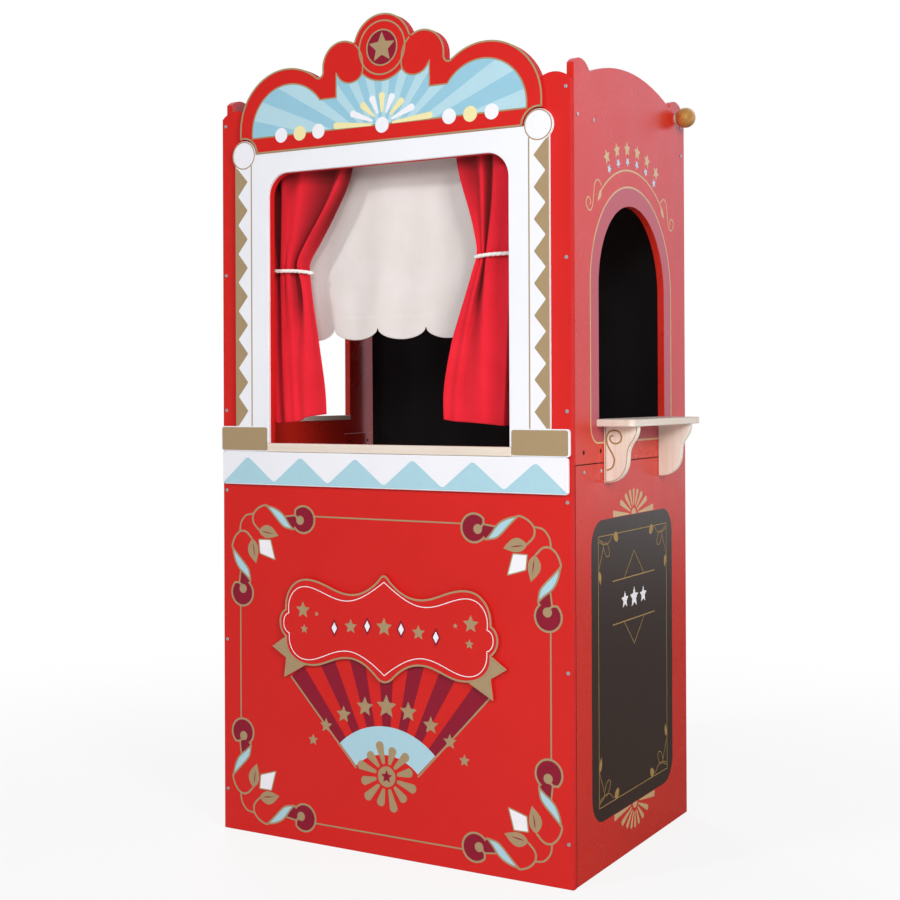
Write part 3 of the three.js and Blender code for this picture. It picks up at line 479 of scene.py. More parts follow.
# Crown: gold lines along every edge, a sunburst, dots and petals
front = on_face(FRONT, OVERLAY_FACE)
medallion, lobe, arch, capital = (0, 1295), (75.5, 1275), (188, 1186), (278, 1145)
field_foot = 1172
apex = (0, 1133)
lobe_foot = smooth([(36.3, 1272), (37.6, 1258.5), (45, 1249.3), (57.9, 1244.9), (70, 1246.3), (80, 1252),
                    (88.2, 1263)])
crown_right = np.vstack([
    arc(capital, 27, 180, 75, 2), arc(arch, 97, 0, 129, 2), arc((123.2, 1268), 7.7, 309, 180, 1),
    arc(lobe, 40, 0, 123.6, 1.5), arc(medallion, 55, 14, 90, 2)])
field_right = np.vstack([
    [(0, field_foot), (258.6, field_foot)], arc((183, 1180), 76, -5, 145, 2), [(88.2, 1223.6)],
    lobe_foot[::-1][:-7], arc(medallion, 53, 316, 270, 2)])
field = np.vstack([field_right, flipped(field_right)[1:-1]])
burst = filled(field)
rays = [wedge(burst, apex, 90 + 15 * k, 97.5 + 15 * k) for k in range(-5, 6)]
crown_edge = np.vstack([crown_right, flipped(crown_right)[1:]])
volute = np.vstack([arc(lobe, 38.5, 128, 178, 1.5), lobe_foot])
printed("crown_burst_pale", front, 1, pale_blue_ink, [burst])
printed("crown_burst_rays", front, 2, sky_blue_ink, rays)
printed("crown_gold_lines", front, 3, gold_ink, [
    band(crown_edge, 2.9, 0.1, closed=True), band(field, 1.2, -1.2, closed=True),
    band(circle(medallion, 43), 2.6, closed=True), band(circle(medallion, 28.3), 2.4, closed=True),
    band(volute, 2.4), band(flipped(volute), 2.4)])
printed("medallion_disc", front, 1, crimson_ink, [filled(circle(medallion, 27.5))])
printed("medallion_star", front, 2, gold_ink, [filled(star(medallion, 25.5))])
petals = [(3.8, 19, 94), (21.5, 19, 65), (43, 20, 54.5), (66.5, 19, 51.5), (90, 19, 51.5)]
petals += [(180 - angle, root, tip) for angle, root, tip in petals[:4]]
for first, ink, colour in ((0, yellow_ink, "yellow"), (1, white_ink, "white")):
    shapes = [filled(petal((0, field_foot), angle, root, tip, 11.5 if tip < 90 else 11, 4))
              for index, (angle, root, tip) in enumerate(petals) if index % 5 % 2 == first]
    printed("crown_petals_" + colour, front, 4, ink, shapes)
dots = {x: filled(circle((x, 1172.5), 12.2)) for x in (-199, -161.3, -123.8, 123.8, 161.3, 199)}
printed("crown_dots_white", front, 4, white_ink, [
    filled(circle((0, 1171), 12.6)), *[dots[x] for x in (-199, -123.8, 199, 123.8)]])
printed("crown_dots_yellow", front, 4, yellow_ink, [dots[x] for x in (-161.3, 161.3)])


# White board round the stage: gold zigzag in each column, ringed capitals and gold base blocks
pitch, first_tip, line_foot, line_top = 48.425, 712.7, 687.3, 1127.2
zigzag = np.empty((19, 2))
zigzag[::2] = np.column_stack([np.full(10, 290), first_tip - 24.2 + pitch * np.arange(10)])
zigzag[1::2] = np.column_stack([np.full(9, 270), first_tip + pitch * np.arange(9)])
column = np.vstack([
    [(294.6, 687.5), (290, 687.8)], eased(zigzag[1:-1], 2.2, closed=False), [(290, 1122.5), (294.6, 1125)]])
base_block = eased([(230.5, 646.6), (325.6, 646.6), (325.6, 685.3), (230.5, 685.3)], 4)
lines = []
for side in (np.array, flipped):
    lines += [filled(side(column)), band(side([(262, line_foot), (262, line_top)]), 2.2),
              band(side([(295, line_foot), (295, line_top)]), 1.6),
              band(side(circle(capital, 22.6)), 2.0, closed=True), filled(side(base_block))]
printed("column_gold_print", front, 1, gold_ink, lines)
printed("capital_caps", front, 2, white_ink, [
    filled(circle((x, capital[1]), 19.5)) for x in (-capital[0], capital[0])])

# Frieze: light blue peaks with rounded tips and valleys
turns = np.arange(13)
saw = np.column_stack([-325.8 + 54.3 * turns, np.where(turns % 2, 636.5, 593.0)])
saw[0], saw[-1] = (-323.6, 591.2), (323.6, 591.2)
saw = np.vstack([eased(saw, 6.5, closed=False), [(323.6, 590.3), (-323.6, 590.3)]])[::-1]
printed("frieze_peaks", front, 1, band_blue_ink, [filled(saw)])


# Lower front: a thin gold border whose corners turn into scrolls with leaves
wall = on_face(FRONT, WALL_FACE)
middle = 286.3


def corner_ornament():
    """Top right corner. One figure, in lengths along the border and away from it, is drawn along
    the top edge and again, mirrored about the diagonal, down the side: a crimson disc in a gold
    ring that rolls in to a knob, a light blue ribbon, an S-shaped stem and a leaf. Between the two
    are a loop and a white bud."""
    ring = np.vstack([[(20, -17.2)], arc((0, 0), 22.3, -40, -318, 1.5), [(16.8, 8), (12.5, 1.5)]])
    upper = smooth([(21, -17.2), (30.5, -7), (38, 3), (47, 11), (60, 17), (76, 20.6)])
    lower = smooth([(21, -17.2), (38, -13.8), (48, -6.5), (56.5, 2), (67, 12.5), (76, 20.8)])
    stem = smooth([(73, 20.2), (80, 21.2), (94.2, 15.2), (103.8, 4), (103, -9), (91.9, -21)])
    disc = np.vstack([arc((0, 0), 22, -40, -318, 1.5), [(16.5, 7), (38, 3.4), (30.5, -7), (21, -17)]])
    gold, crimson, blue, vein = [], [], [], []
    for place in (lambda p: np.array(p) + (161.5, 533), lambda p: np.array(p)[:, ::-1] + (288.5, 404.5)):
        gold += [band(place(ring), 3.3), filled(place(circle((6.7, -1.4), 7.6)))]
        gold += [band(place([(15, 6.6), (37, 3.8)]), 2.6), band(place(upper), 2.8)]
        gold += [band(place(lower), 2.8), band(place(stem), 3.2)]
        gold.append(filled(place(leaf((92, -21.7), (51, -29), 22, -2))))
        crimson.append(filled(place(disc)))
        blue.append(filled(place(np.vstack([upper, lower[-2:0:-1]]))))
        vein.append(filled(place(leaf((85, -23), (62, -26.5), 1.8))))
    gold.append(band(smooth([(265.5, 539), (280.6, 535.6), (290.9, 523.1), (293.5, 509)]), 2.8))
    corners = [(229, 496.8), (253.8, 496.3), (251.2, 472.6), (219.5, 463.3)]
    gold.append(band(eased(corners, 1.5), 1.8, closed=True))
    return gold, crimson, blue, [filled(eased(corners, 1.5))], vein


def four(areas):
    """The corner's print and its mirror images in the other three corners."""
    return [copy for area in areas for across, up in ((1, 1), (-1, 1), (1, -1), (-1, -1))
            for copy in image([area], (across, up), (0, middle * (1 - up)))]


gold, crimson, blue, bud, vein = corner_ornament()
gold = four(gold) + [band([(-139.5, z), (139.5, z)], 2.4) for z in (middle - 252.7, middle + 252.7)]
gold += [band([(x, middle - 96), (x, middle + 96)], 2.4) for x in (-292.5, 292.5)]
printed("corner_crimson", wall, 1, crimson_ink, four(crimson))
printed("corner_blue", wall, 1, band_blue_ink, four(blue))
printed("corner_gold", wall, 2, gold_ink, gold)
printed("corner_buds", wall, 1, white_ink, four(bud))
printed("corner_leaf_veins", wall, 3, crimson_ink, four(vein))


# Fan under the sign: rays between two gold ribs, a pale sky, stars and a rosette
fan = (0, 78.5)
right, left, ray_count = 46, 134, 13
fan_area = filled(np.vstack([arc(fan, 84, right, left, 3), arc(fan, 268, left, right, 4)]))
step = (left - right) / ray_count
dark = [wedge(fan_area, fan, right + step * k, right + step * (k + 1)) for k in range(0, ray_count, 2)]
sky = filled(np.vstack([arc(fan, 84, right, left, 2), arc(fan, 129.5, left, right, 2)]))
ribs = [band([(58.5 * s, 135), (188 * s, 272)], 2.8) for s in (-1, 1)]
stars = [(0, 240, 19.5), (41, 235.7, 16.5), (82.4, 219, 14.5), (117, 197.2, 12.5), (143, 171, 10)]
stars += [(-x, z, r) for x, z, r in stars[1:]]
printed("fan_rays", wall, 1, crimson_ink, dark)
printed("fan_sky", wall, 2, band_blue_ink, [sky])
printed("fan_gold", wall, 3, gold_ink, ribs + [filled(star((x, z), r)) for x, z, r in stars])
hub = (0, 128)
rosette = [filled(petal(hub, 15 + 30 * k, 20, 57 if k % 2 else 50, 15, 6)) for k in range(12)]
printed("fan_rosette", wall, 3, gold_ink, rosette + [filled(circle(hub, 16.5))])
printed("fan_rosette_star", wall, 4, crimson_ink, [filled(star(hub, 11))])


# Sign: a red cartouche with a gold edge and a thin white inner line, and two gold ribbon points.
# The tables hold shares of its half width and half height, down the right side: four control
# points for each curve.
def sign_place(shares):
    return np.array(shares, float) * [206.5, 86.25] + [0, 364.75]


def sign_curve(table, end):
    """The curves of a table, one after the other, and their last point."""
    return sign_place(np.vstack([bezier(row, 12) for row in table] + [[end]]))


cartouche_shares = [
    [[0, 1], [0.029, 1], [0.048, 0.907], [0.077, 0.849]],
    [[0.077, 0.849], [0.145, 0.71], [0.218, 0.606], [0.315, 0.606]],
    [[0.315, 0.606], [0.46, 0.606], [0.571, 0.834], [0.724, 0.834]],
    [[0.724, 0.834], [0.862, 0.834], [0.949, 0.571], [0.944, 0.223]],
    [[0.944, 0.223], [0.978, 0.177], [1, 0.084], [1, -0.026]],
    [[1, -0.026], [1, -0.148], [0.978, -0.252], [0.942, -0.31]],
    [[0.942, -0.31], [0.955, -0.6], [0.86, -0.826], [0.7, -0.826]],
    [[0.7, -0.826], [0.557, -0.826], [0.475, -0.62], [0.334, -0.62]],
    [[0.334, -0.62], [0.218, -0.62], [0.136, -0.774], [0.073, -0.925]],
    [[0.073, -0.925], [0.048, -0.977], [0.024, -1], [0, -1]],
]
inner_shares = [
    [[0, 0.87], [0.12, 0.66], [0.24, 0.465], [0.36, 0.465]],
    [[0.36, 0.465], [0.5, 0.465], [0.62, 0.68], [0.74, 0.68]],
    [[0.74, 0.68], [0.85, 0.68], [0.925, 0.46], [0.907, 0.15]],
    [[0.907, 0.15], [0.975, 0.11], [0.975, -0.19], [0.903, -0.235]],
    [[0.903, -0.235], [0.915, -0.55], [0.83, -0.715], [0.735, -0.715]],
    [[0.735, -0.715], [0.6, -0.715], [0.5, -0.475], [0.34, -0.475]],
    [[0.34, -0.475], [0.23, -0.475], [0.1, -0.67], [0, -0.86]],
]
cartouche_right = sign_curve(cartouche_shares, (0, -1))
cartouche = np.vstack([cartouche_right, flipped(cartouche_right)[1:-1]])[::-1]
inner_right = sign_curve(inner_shares, (0, -0.86))
inner_line = np.vstack([inner_right, flipped(inner_right)[1:-1]])
ribbon = sign_place([(1.071, -0.519), (0.935, -0.716), (0.956, -1.098), (0.746, -0.821)])
point = np.vstack([ribbon, sign_curve(cartouche_shares[6:7], (0.7, -0.826))[::-1]])
sign_gold = [band(cartouche, 3.2, 0.15, closed=True)] + [filled(p) for p in (point, flipped(point))]
for s in (-1, 1):
    sign_gold += [filled(star((s * x, z), radius))
                  for x, z, radius in ((158.5, 384.5, 14.5), (131, 380, 4.6), (156, 353.5, 8))]
printed("sign_gold", front, 1, gold_ink, sign_gold)
printed("sign_white_line", front, 1, white_ink, [band(inner_line, 1.3, closed=True)])
# a generic row of lozenges and stars where the sign has room for a title
garland = [(x, 368 - (x / 118)**2 * 13) for x in (-96, -64, -32, 0, 32, 64, 96)]
printed("sign_garland_gold", front, 1, gold_ink, [
    filled(star(place, 15.5 if index == 3 else 12.5)) for index, place in enumerate(garland) if index % 2])
lozenges = [eased([(x, z + 15), (x - 8.5, z), (x, z - 15), (x + 8.5, z)], 1) for x, z in garland[::2]]
printed("sign_garland_crimson", front, 1, crimson_ink, [filled(p) for p in lozenges])
printed("sign_garland_white", front, 2, white_ink, [
    filled(p * 0.62 + p.mean(0) * 0.38) for p in lozenges])


# Right side: the window's band, gold arcs with scrolled ends, and the menu board
side = on_face(RIGHT, SIDE_FACE)
head = (SIDE_MIDDLE, 907.5)     # centre of the window's round head


def around(half, foot, corner_radius):
    """An arched outline about the window: straight jambs, round head, round lower corners."""
    inset = half - corner_radius
    return np.vstack([
        arc(head, half, 0, 180, 3),
        arc((SIDE_MIDDLE - inset, foot + corner_radius), corner_radius, 180, 270, 2),
        arc((SIDE_MIDDLE + inset, foot + corner_radius), corner_radius, 270, 360, 2)])


def board_shape(half, low, high, radius):
    """A rectangle about the middle of the side with round corners."""
    left, right = SIDE_MIDDLE - half + radius, SIDE_MIDDLE + half - radius
    under, over = low + radius, high - radius
    corners = [(right, over), (left, over), (left, under), (right, under)]
    return np.vstack([arc(corner, radius, 90 * k, 90 * k + 90, 2) for k, corner in enumerate(corners)])


jamb, hole_foot = 136.2, 690.5
hole = np.vstack([
    arc(head, jamb, 0, 180, 3), [(SIDE_MIDDLE - jamb, hole_foot), (SIDE_MIDDLE + jamb, hole_foot)]])
printed("window_band", side, 1, rose_ink, [filled(around(165.5, 665, 26), hole)])
curl = smooth([(-122, 1064), (-136, 1071.5), (-148, 1065), (-152, 1050), (-158, 1027.5), (-168.5, 1020.8),
               (-179.5, 1027.2), (-180, 1035.8), (-171.5, 1041), (-164.4, 1035), (-167.8, 1029)])
curl += [SIDE_MIDDLE, 0]
tip = leaf((SIDE_MIDDLE - 124.5, 1057.5), (SIDE_MIDDLE - 138, 1038), 9, 1)
window_gold = [band(around(167, 663.5, 27), 2.8, closed=True), band(arc(head, 194, 50, 130, 3), 2.8)]
window_gold += [band(curl, 2.2), filled(tip)]
window_gold += [band(flipped(curl, SIDE_MIDDLE), 2.2), filled(flipped(tip, SIDE_MIDDLE))]


def on_arch(reach, degrees):
    """A place at a distance and angle from the centre of the window's head."""
    turn = math.radians(degrees)
    return head[0] + reach * math.cos(turn), head[1] + reach * math.sin(turn)


# a generic row of two-tone stars where the wall has room for a word
row_angles = np.linspace(63.5, 116.5, 6)
window_gold += [filled(star(on_arch(228, angle), 13, angle - 90)) for angle in row_angles]
printed("window_gold", side, 2, side_gold_ink, window_gold)
printed("window_stars_blue", side, 2, side_blue_ink, [
    filled(star(on_arch(208, angle), 8, angle + 90)) for angle in row_angles])

menu_low, menu_high = 75.5, 543.5
menu_middle = (menu_low + menu_high) / 2


def up_and_down(areas):
    """Figures on the board's upper half and their images below its middle."""
    return areas + image(areas, (1, -1), (0, 2 * menu_middle))


def left_and_right(areas):
    """Figures left of the board's middle and their images to the right."""
    return areas + image(areas, (-1, 1), (2 * SIDE_MIDDLE, 0))


printed("menu_board", side, 1, slate_ink, [filled(board_shape(167, menu_low, menu_high, 42))])
crown_point = (SIDE_MIDDLE, menu_high)
petals = [(23, 60, 9.5), (44, 49, 9), (67, 43.5, 8), (90, 42, 7.5)]
petals += [(180 - angle, reach, width) for angle, reach, width in petals[2::-1]]
palmette = [filled(petal(crown_point, angle, 15, reach, width, 3)) for angle, reach, width in petals]
first = eased([(17, 0.8), (84, 0.8), (83, 11.5), (18, 2.5)], 1.2) + crown_point
palmette += [filled(first), filled(flipped(first, SIDE_MIDDLE))]
palmette.append(filled(arc(crown_point, 9.2, 0, 180, 1.5) + [0, 0.6]))
printed("menu_palmettes", side, 1, side_gold_ink, up_and_down(palmette))
line_half, line_high, bar_high, bar_low = 141.5, 518, 443.4, 374.4
frame_line = board_shape(line_half, 98.5, line_high, 1.0)
knot = np.array([SIDE_MIDDLE - line_half, line_high])
curls = [[(2, -50), (8.4, -38.4), (17.7, -20.1), (20, -11.5), (8, -6.4), (2, -4)],
         [(20, -18), (28.1, -30.5), (38.5, -33.6), (42.5, -27.2), (35.9, -15.8), (25.5, -10.2)],
         [(1.8, -8), (20, -13.1), (39.9, -11.6), (54.3, -1)]]
loops = [band(knot + smooth(points), 1.2) for points in curls]
loops += [filled(knot + leaf((2.5, -53), (8, -75), 10, 1)),
          filled(knot + eased([(58, -1), (61, -9), (70, -14), (77, -11), (75, -2), (68, 4)], 2))]
triangle = [(SIDE_MIDDLE - 41, 444), (SIDE_MIDDLE, 484.5), (SIDE_MIDDLE + 41, 444)]
bar = [(SIDE_MIDDLE - 87, bar_high), (SIDE_MIDDLE + 87, bar_high)]
lower = [np.array(p) * [1, -1] + [0, bar_high + bar_low] for p in (triangle, bar)]
menu = up_and_down(left_and_right(loops)) + [band(frame_line, 1.3, closed=True)]
menu += [band(triangle, 1.3), band(bar, 1.8), band(lower[0], 1.3), band(lower[1], 1.8)]
printed("menu_gold_lines", side, 2, brass_ink, menu)
printed("menu_marks", side, 2, white_ink, [
    filled(star((SIDE_MIDDLE + y, 408.5), r)) for y, r in ((-38, 14.5), (0, 17.5), (38, 14.5))])


# The open joint between the boxes shows as a dark line on each side, and the lower right wall's
# joint with the front wall as a thinner one
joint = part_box("lower_side_panel_right")[1][2] / MM
near, far, low, high = 6.5, 458.5, joint - 0.6, joint + 0.6
gap = filled([(near, low), (far, low), (far, high), (near, high)])
seam = filled([(near - 0.9, 2), (near, 2), (near, low), (near - 0.9, low)])
printed("joint_line_right", side, 1, shadow_ink, [gap, seam])
printed("joint_line_left", on_face(LEFT, SIDE_FACE), 1, shadow_ink, image([gap], (-1, 1)))


# Scroll on the outer face of each shelf bracket, and a gold line along its curved edge
def bracket_print():
    """A volute that runs out into a long S, a straight line by the wall, and the edge line."""
    volute = smooth([
        (345.2, 674.5), (340.4, 673.4), (339.2, 668.6), (343, 663.6), (349.6, 662.1), (356.4, 665.2),
        (358.6, 672.4), (355.2, 679.6), (347, 682.6), (338, 680.1), (333.6, 672.1), (334, 664),
        (336.3, 657.5), (343.3, 645.8), (346.6, 636.1), (342.8, 625), (333.8, 620)])
    low, waist, top, middle, end = 600.7, 641.7, 688.7, 369.3, 385.8
    edge = np.vstack([
        bezier([(331.8, low), (359, low), (middle, waist - 20.5), (middle, waist)], 12),
        bezier([(middle, waist), (middle, waist + 23.5), (end, top - 23.5), (end, top)], 12), [(end, top)]])
    return [band(volute, 2.6), band([(331.9, 601.5), (331.9, 688)], 1.2), band(edge, 2.2, 1.0)]


printed("bracket_print_front", on_face(FRONT, -110.5), 1, brass_ink, bracket_print())
printed("bracket_print_back", on_face(BACK, 348.5), 1, brass_ink, image(bracket_print(), (-1, 1)))


# Screws: a pan head with a hexagon socket and a plain shank, the head where the solid's wide end is
STEPS = 32
TURN = np.linspace(0, 2 * math.pi, STEPS, endpoint=False)


def tube_faces(rings, steps, closed=False):
    """Faces from each ring of points to the next, and from the last to the first where closed."""
    ring, step = np.meshgrid(np.arange(rings if closed else rings - 1), np.arange(steps), indexing="ij")
    after, above = (step + 1) % steps, (ring + 1) % rings
    corners = (ring, step), (ring, after), (above, after), (above, step)
    return np.stack([r * steps + c for r, c in corners], 2).reshape(-1, 4)


def lathe(rings):
    """Turns (along, radius) pairs about the X axis. A radius may be one for each step."""
    points = [np.column_stack([np.full(STEPS, along), radius * np.cos(TURN), radius * np.sin(TURN)])
              for along, radius in rings]
    return np.vstack(points), tube_faces(len(rings), STEPS)


def screw(name, place, outwards, head, height, shank, reach, finish, node=None):
    """A screw whose head lies on place and faces along the unit vector outwards. The socket is a
    hexagon: six points at 0.46 of the head's radius, sunk by 0.6 of its height."""
    flat = math.pi / 6
    socket = head * 0.46 * math.cos(flat) / np.cos((TURN + flat) % (2 * flat) - flat)
    points, faces = lathe([
        (-reach, 0), (-reach, shank * 0.55), (-reach + shank, shank), (0, shank), (0, head * 0.94),
        (height * 0.2, head), (height * 0.55, head * 0.97), (height * 0.9, head * 0.8), (height, head * 0.6),
        (height, socket), (height * 0.4, socket * 0.97), (height * 0.4, 0)])
    tilt = Vector(outwards).to_track_quat("X", "Z").to_matrix()
    piece = made(name, points @ np.array(tilt).T + place, faces, finish)
    if node:
        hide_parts(node)


HEAD = (3.1, 1.4, 2.3)      # radius and height of a head, radius of the shank
HEAD_REACH = 16.7           # from the middle of a side screw's solid to its outer end
for name in [name for name in nodes if "screw" in name]:
    low, high = (np.array(corner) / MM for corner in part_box(name))
    place = (low + high) / 2
    s = math.copysign(1, place[0])
    outwards = (s, 0, 0)
    if name.startswith("front"):
        place[1] = low[1] + HEAD[1]
        outwards = (0, -1, 0)
    elif name.startswith("bracket"):
        place[0] = low[0] + HEAD[1]
        outwards = (-1, 0, 0)
    else:
        place[0] += s * (HEAD_REACH - HEAD[1])
    screw(name + "_fine", place, outwards, *HEAD, 31, zinc_plate, name)
for s, side_name in ((-1, "left"), (1, "right")):
    for index, y in enumerate((36.5, 99.5, 359.5, 422.5)):
        name = f"_{side_name}_{index}"
        screw("plate_bolt" + name, (s * 327.4, y, 650.5), (s, 0, 0), 3.7, 1.0, 2.3, 15, black_oxide)
        screw("plate_screw" + name, (s * 328.6, y, 620), (s, 0, 0), *HEAD, 16, zinc_plate)


# Cloth
def cloth(name, points, flat, finish, body, thickness, painted_fold_shade=None):
    """A sheet from a grid of points, rows from the top down. The UV map holds metres of cloth: its
    flat width across, and the mean length down the columns. The optional last grid holds painted
    shade, how dark each point of the hanging rows is drawn, as an attribute; the sleeve's rows above take
    the first of them."""
    rows, columns = points.shape[:2]
    down = np.linalg.norm(np.diff(points, axis=0), axis=2).mean(1)
    down = np.concatenate([[0], np.cumsum(down)]) * MM
    across, height = np.meshgrid(np.linspace(0, flat[0], columns), down[-1] - down)
    place = np.stack([across, height], 2).reshape(-1, 2)
    row, column = np.meshgrid(np.arange(rows - 1), np.arange(columns - 1), indexing="ij")
    first = row * columns + column
    faces = np.stack([first, first + columns, first + columns + 1, first + 1], 2).reshape(-1, 4)
    piece = made(name, points.reshape(-1, 3), faces, finish, body, soft_shade=True)
    layer = piece.data.uv_layers.new(name="cloth")
    layer.data.foreach_set("uv", place[faces.ravel()].ravel())
    if painted_fold_shade is not None:
        painted_fold_shade = np.vstack([np.repeat(painted_fold_shade[:1], rows - len(painted_fold_shade), 0), painted_fold_shade])
        piece.data.attributes.new("painted_fold_shade", "FLOAT", "POINT").data.foreach_set("value", painted_fold_shade.ravel())
    shell = piece.modifiers.new("thickness", "SOLIDIFY")
    shell.thickness, shell.offset = thickness * MM, 0
    return piece


def sleeve(body_rows, rod, slack, gathers):
    """Rows of cloth round a rod, before the rows that hang from it: they leave the hanging cloth's
    back, pass over the rod on a circle with ripples, and come down to meet the first row."""
    y, z, radius = rod
    seam = body_rows[0]
    share = np.linspace(0, 1, len(seam))
    wave = 2 * math.pi * gathers * share
    ripple = radius + slack + 0.5 * np.sin(wave) + 0.25 * np.sin(2.3 * wave + 1)
    rows = []
    for degrees in np.linspace(-52, 232, 22):
        turn = math.radians(degrees)
        rows.append(np.column_stack([seam[:, 0], y + ripple * math.cos(turn), z + ripple * math.sin(turn)]))
    behind = seam + [0, 1.3, 0]
    entry = [behind * (1 - t) + rows[0] * t for t in (0.0, 0.35, 0.7)]
    leave = [rows[-1] * (1 - t) + seam * t for t in (0.3, 0.65)]
    return np.concatenate([np.array(entry + rows + leave), body_rows])


def ease(share):
    """3 s^2 - 2 s^3, held to 0 and 1 outside."""
    share = np.clip(share, 0, 1)
    return share * share * (3 - 2 * share)


# Heights of the curtains' tables, and the depth of their foremost folds there
LEVELS = np.array([1119, 1080, 1030, 995, 960, 930, 897, 857, 816, 748, 690.0])
CLOTH_FRONT = [17.5, 15, 14, 14.5, 15.5, 15.5, 14.5, 14, 13.5, 14, 14.5]
ROPE_LEVEL = 950
HANG = 16                   # the hanging cloth starts this far below the rod's middle


def along_height(table, up):
    """Values given at LEVELS, at the heights up, on a smooth curve."""
    order = np.argsort(LEVELS)
    curve = smooth(np.column_stack([LEVELS[order], np.array(table, float)[order]]), steps=8)
    return np.interp(up, curve[:, 0], curve[:, 1])


def gathered(crests, shares, set_back, dips, valleys, painted_fold_shades, edge, hem, phase):
    """A curtain drawn in at its waist. Each crest is a line down the cloth: its place across at
    LEVELS, its share of the cloth's width, and how far it is set back. From crest to crest the
    cloth dips back by dips, at LEVELS too, to a valley at valleys of the way: (1 - cos)/2 down to
    it and (1 - cos)/2 up from it. Small waves with fixed phases keep the folds from being alike.
    Also gives painted shade, how dark each point of the cloth is drawn: the shade tables times a
    sine that is 1 in the valley, and the edge table more towards the inner edge."""
    v, u = np.meshgrid(np.linspace(0, 1, 150), np.linspace(0, 1, 221), indexing="ij")
    top = CURTAIN_ROD[1] - HANG
    foot = hem[0] + (hem[1] - hem[0]) * u**1.5 + 0.5 * np.sin(9 * u + phase)
    up = top - v * (top - foot)
    places, depths, lows, painted_darks = (np.array([along_height(table, up) for table in tables])
                                   for tables in (crests, dips, valleys, painted_fold_shades))
    knots = np.array(shares, float)
    index = np.clip(np.searchsorted(knots, u, side="right") - 1, 0, len(knots) - 2)
    t = (u - knots[index]) / (knots[index + 1] - knots[index])

    def chosen(values, which):
        return np.take_along_axis(values, which[None], axis=0)[0]

    left, right, low = chosen(places, index), chosen(places, index + 1), chosen(lows, index)
    side = np.where(t < low, t / low, (1 - t) / (1 - low))
    level = np.array(set_back, float)
    front = along_height(CLOTH_FRONT, up)
    back = front + level[index] * (1 - t) + level[index + 1] * t
    back += chosen(depths, index) * (1 - np.cos(math.pi * side)) / 2
    loose = 1 - np.exp(-((up - ROPE_LEVEL) / 45)**2)
    back += (0.5 * np.sin(5 * u * math.pi + 0.009 * up + phase) + 0.25 * np.sin(13 * u + 0.02 * up)) * loose
    back += 0.35 * (1 - loose) * np.cos(2 * math.pi * 15 * u + phase)
    across = left + (right - left) * t
    across += loose * 0.8 * np.sin(7 * u + 0.013 * up + phase) * np.sin(math.pi * u)
    # painted shade: darkest in each valley, and growing towards the inner edge
    painted_fold_shade = chosen(painted_darks, index) * np.sin(math.pi / 2 * side)
    painted_fold_shade += along_height(edge, up) * np.where(index > len(knots) - 3, t**0.6, 0)
    return np.stack([across, back, up], 2), np.clip(painted_fold_shade, 0, 1)


# The crests from the outer edge to the inner one. The outer pleats hide behind the board. The
# shade and edge tables are painted shade: how dark each fold, and the cloth by its inner edge, is drawn.
left_curtain = dict(
    crests=[[-302, -290, -268, -256, -250, -249.5, -249, -249, -249.5, -249, -248],
            [-262, -254, -248, -245, -242, -241, -241, -241, -241, -240, -236],
            [-220.5, -219.5, -220.5, -222, -224, -224.5, -223, -221.5, -220, -217, -213.5],
            [-176, -181, -189, -197, -205, -207, -204, -201, -199, -196, -190],
            [-94, -112, -143.6, -168.8, -187.4, -179.7, -173.8, -171, -171, -169.5, -168],
            [-75.6, -87, -115.2, -138.2, -162, -161.5, -156.2, -148.7, -141.5, -131.6, -129]],
    dips=[[14, 16, 18, 18, 18, 18, 18, 18, 18, 17, 16],
          [10, 13, 15, 15, 15, 15, 15, 15, 14, 12, 10],
          [1.5] * 11,
          [6, 9, 12, 13, 13, 13, 12, 8, 4, 3, 2],
          [3, 3, 3, 2.5, 2, 2, 2.5, 3, 3, 2, 1.5]],
    valleys=[[0.5] * 11, [0.6] * 11, [0.5] * 11,
             [0.75, 0.77, 0.8, 0.83, 0.82, 0.78, 0.7, 0.5, 0.4, 0.3, 0.3], [0.5] * 11],
    painted_fold_shades=[[1] * 11, [2, 1.9, 1.8, 1.5, 1.2, 0.9, 0.7, 0.5, 0.4, 0.3, 0.3],
            [0.7, 0.35, 0.1, 0.05, 0, 0.1, 0.1, 0.05, 0, 0, 0],
            [0.95, 0.9, 0.9, 0.9, 0.95, 1, 0.85, 0.35, 0.15, 0.05, 0],
            [0.15, 0.2, 0.2, 0.15, 0.1, 0.1, 0.1, 0.1, 0.1, 0.1, 0.1]],
    edge=[0.95, 0.95, 0.9, 0.65, 0.35, 0.1, 0, 0, 0, 0, 0],
    shares=(0, 0.13, 0.26, 0.4, 0.78, 1), set_back=(8, 4, 3, 0, 0, 2), hem=(690.5, 707.5), phase=0.4)
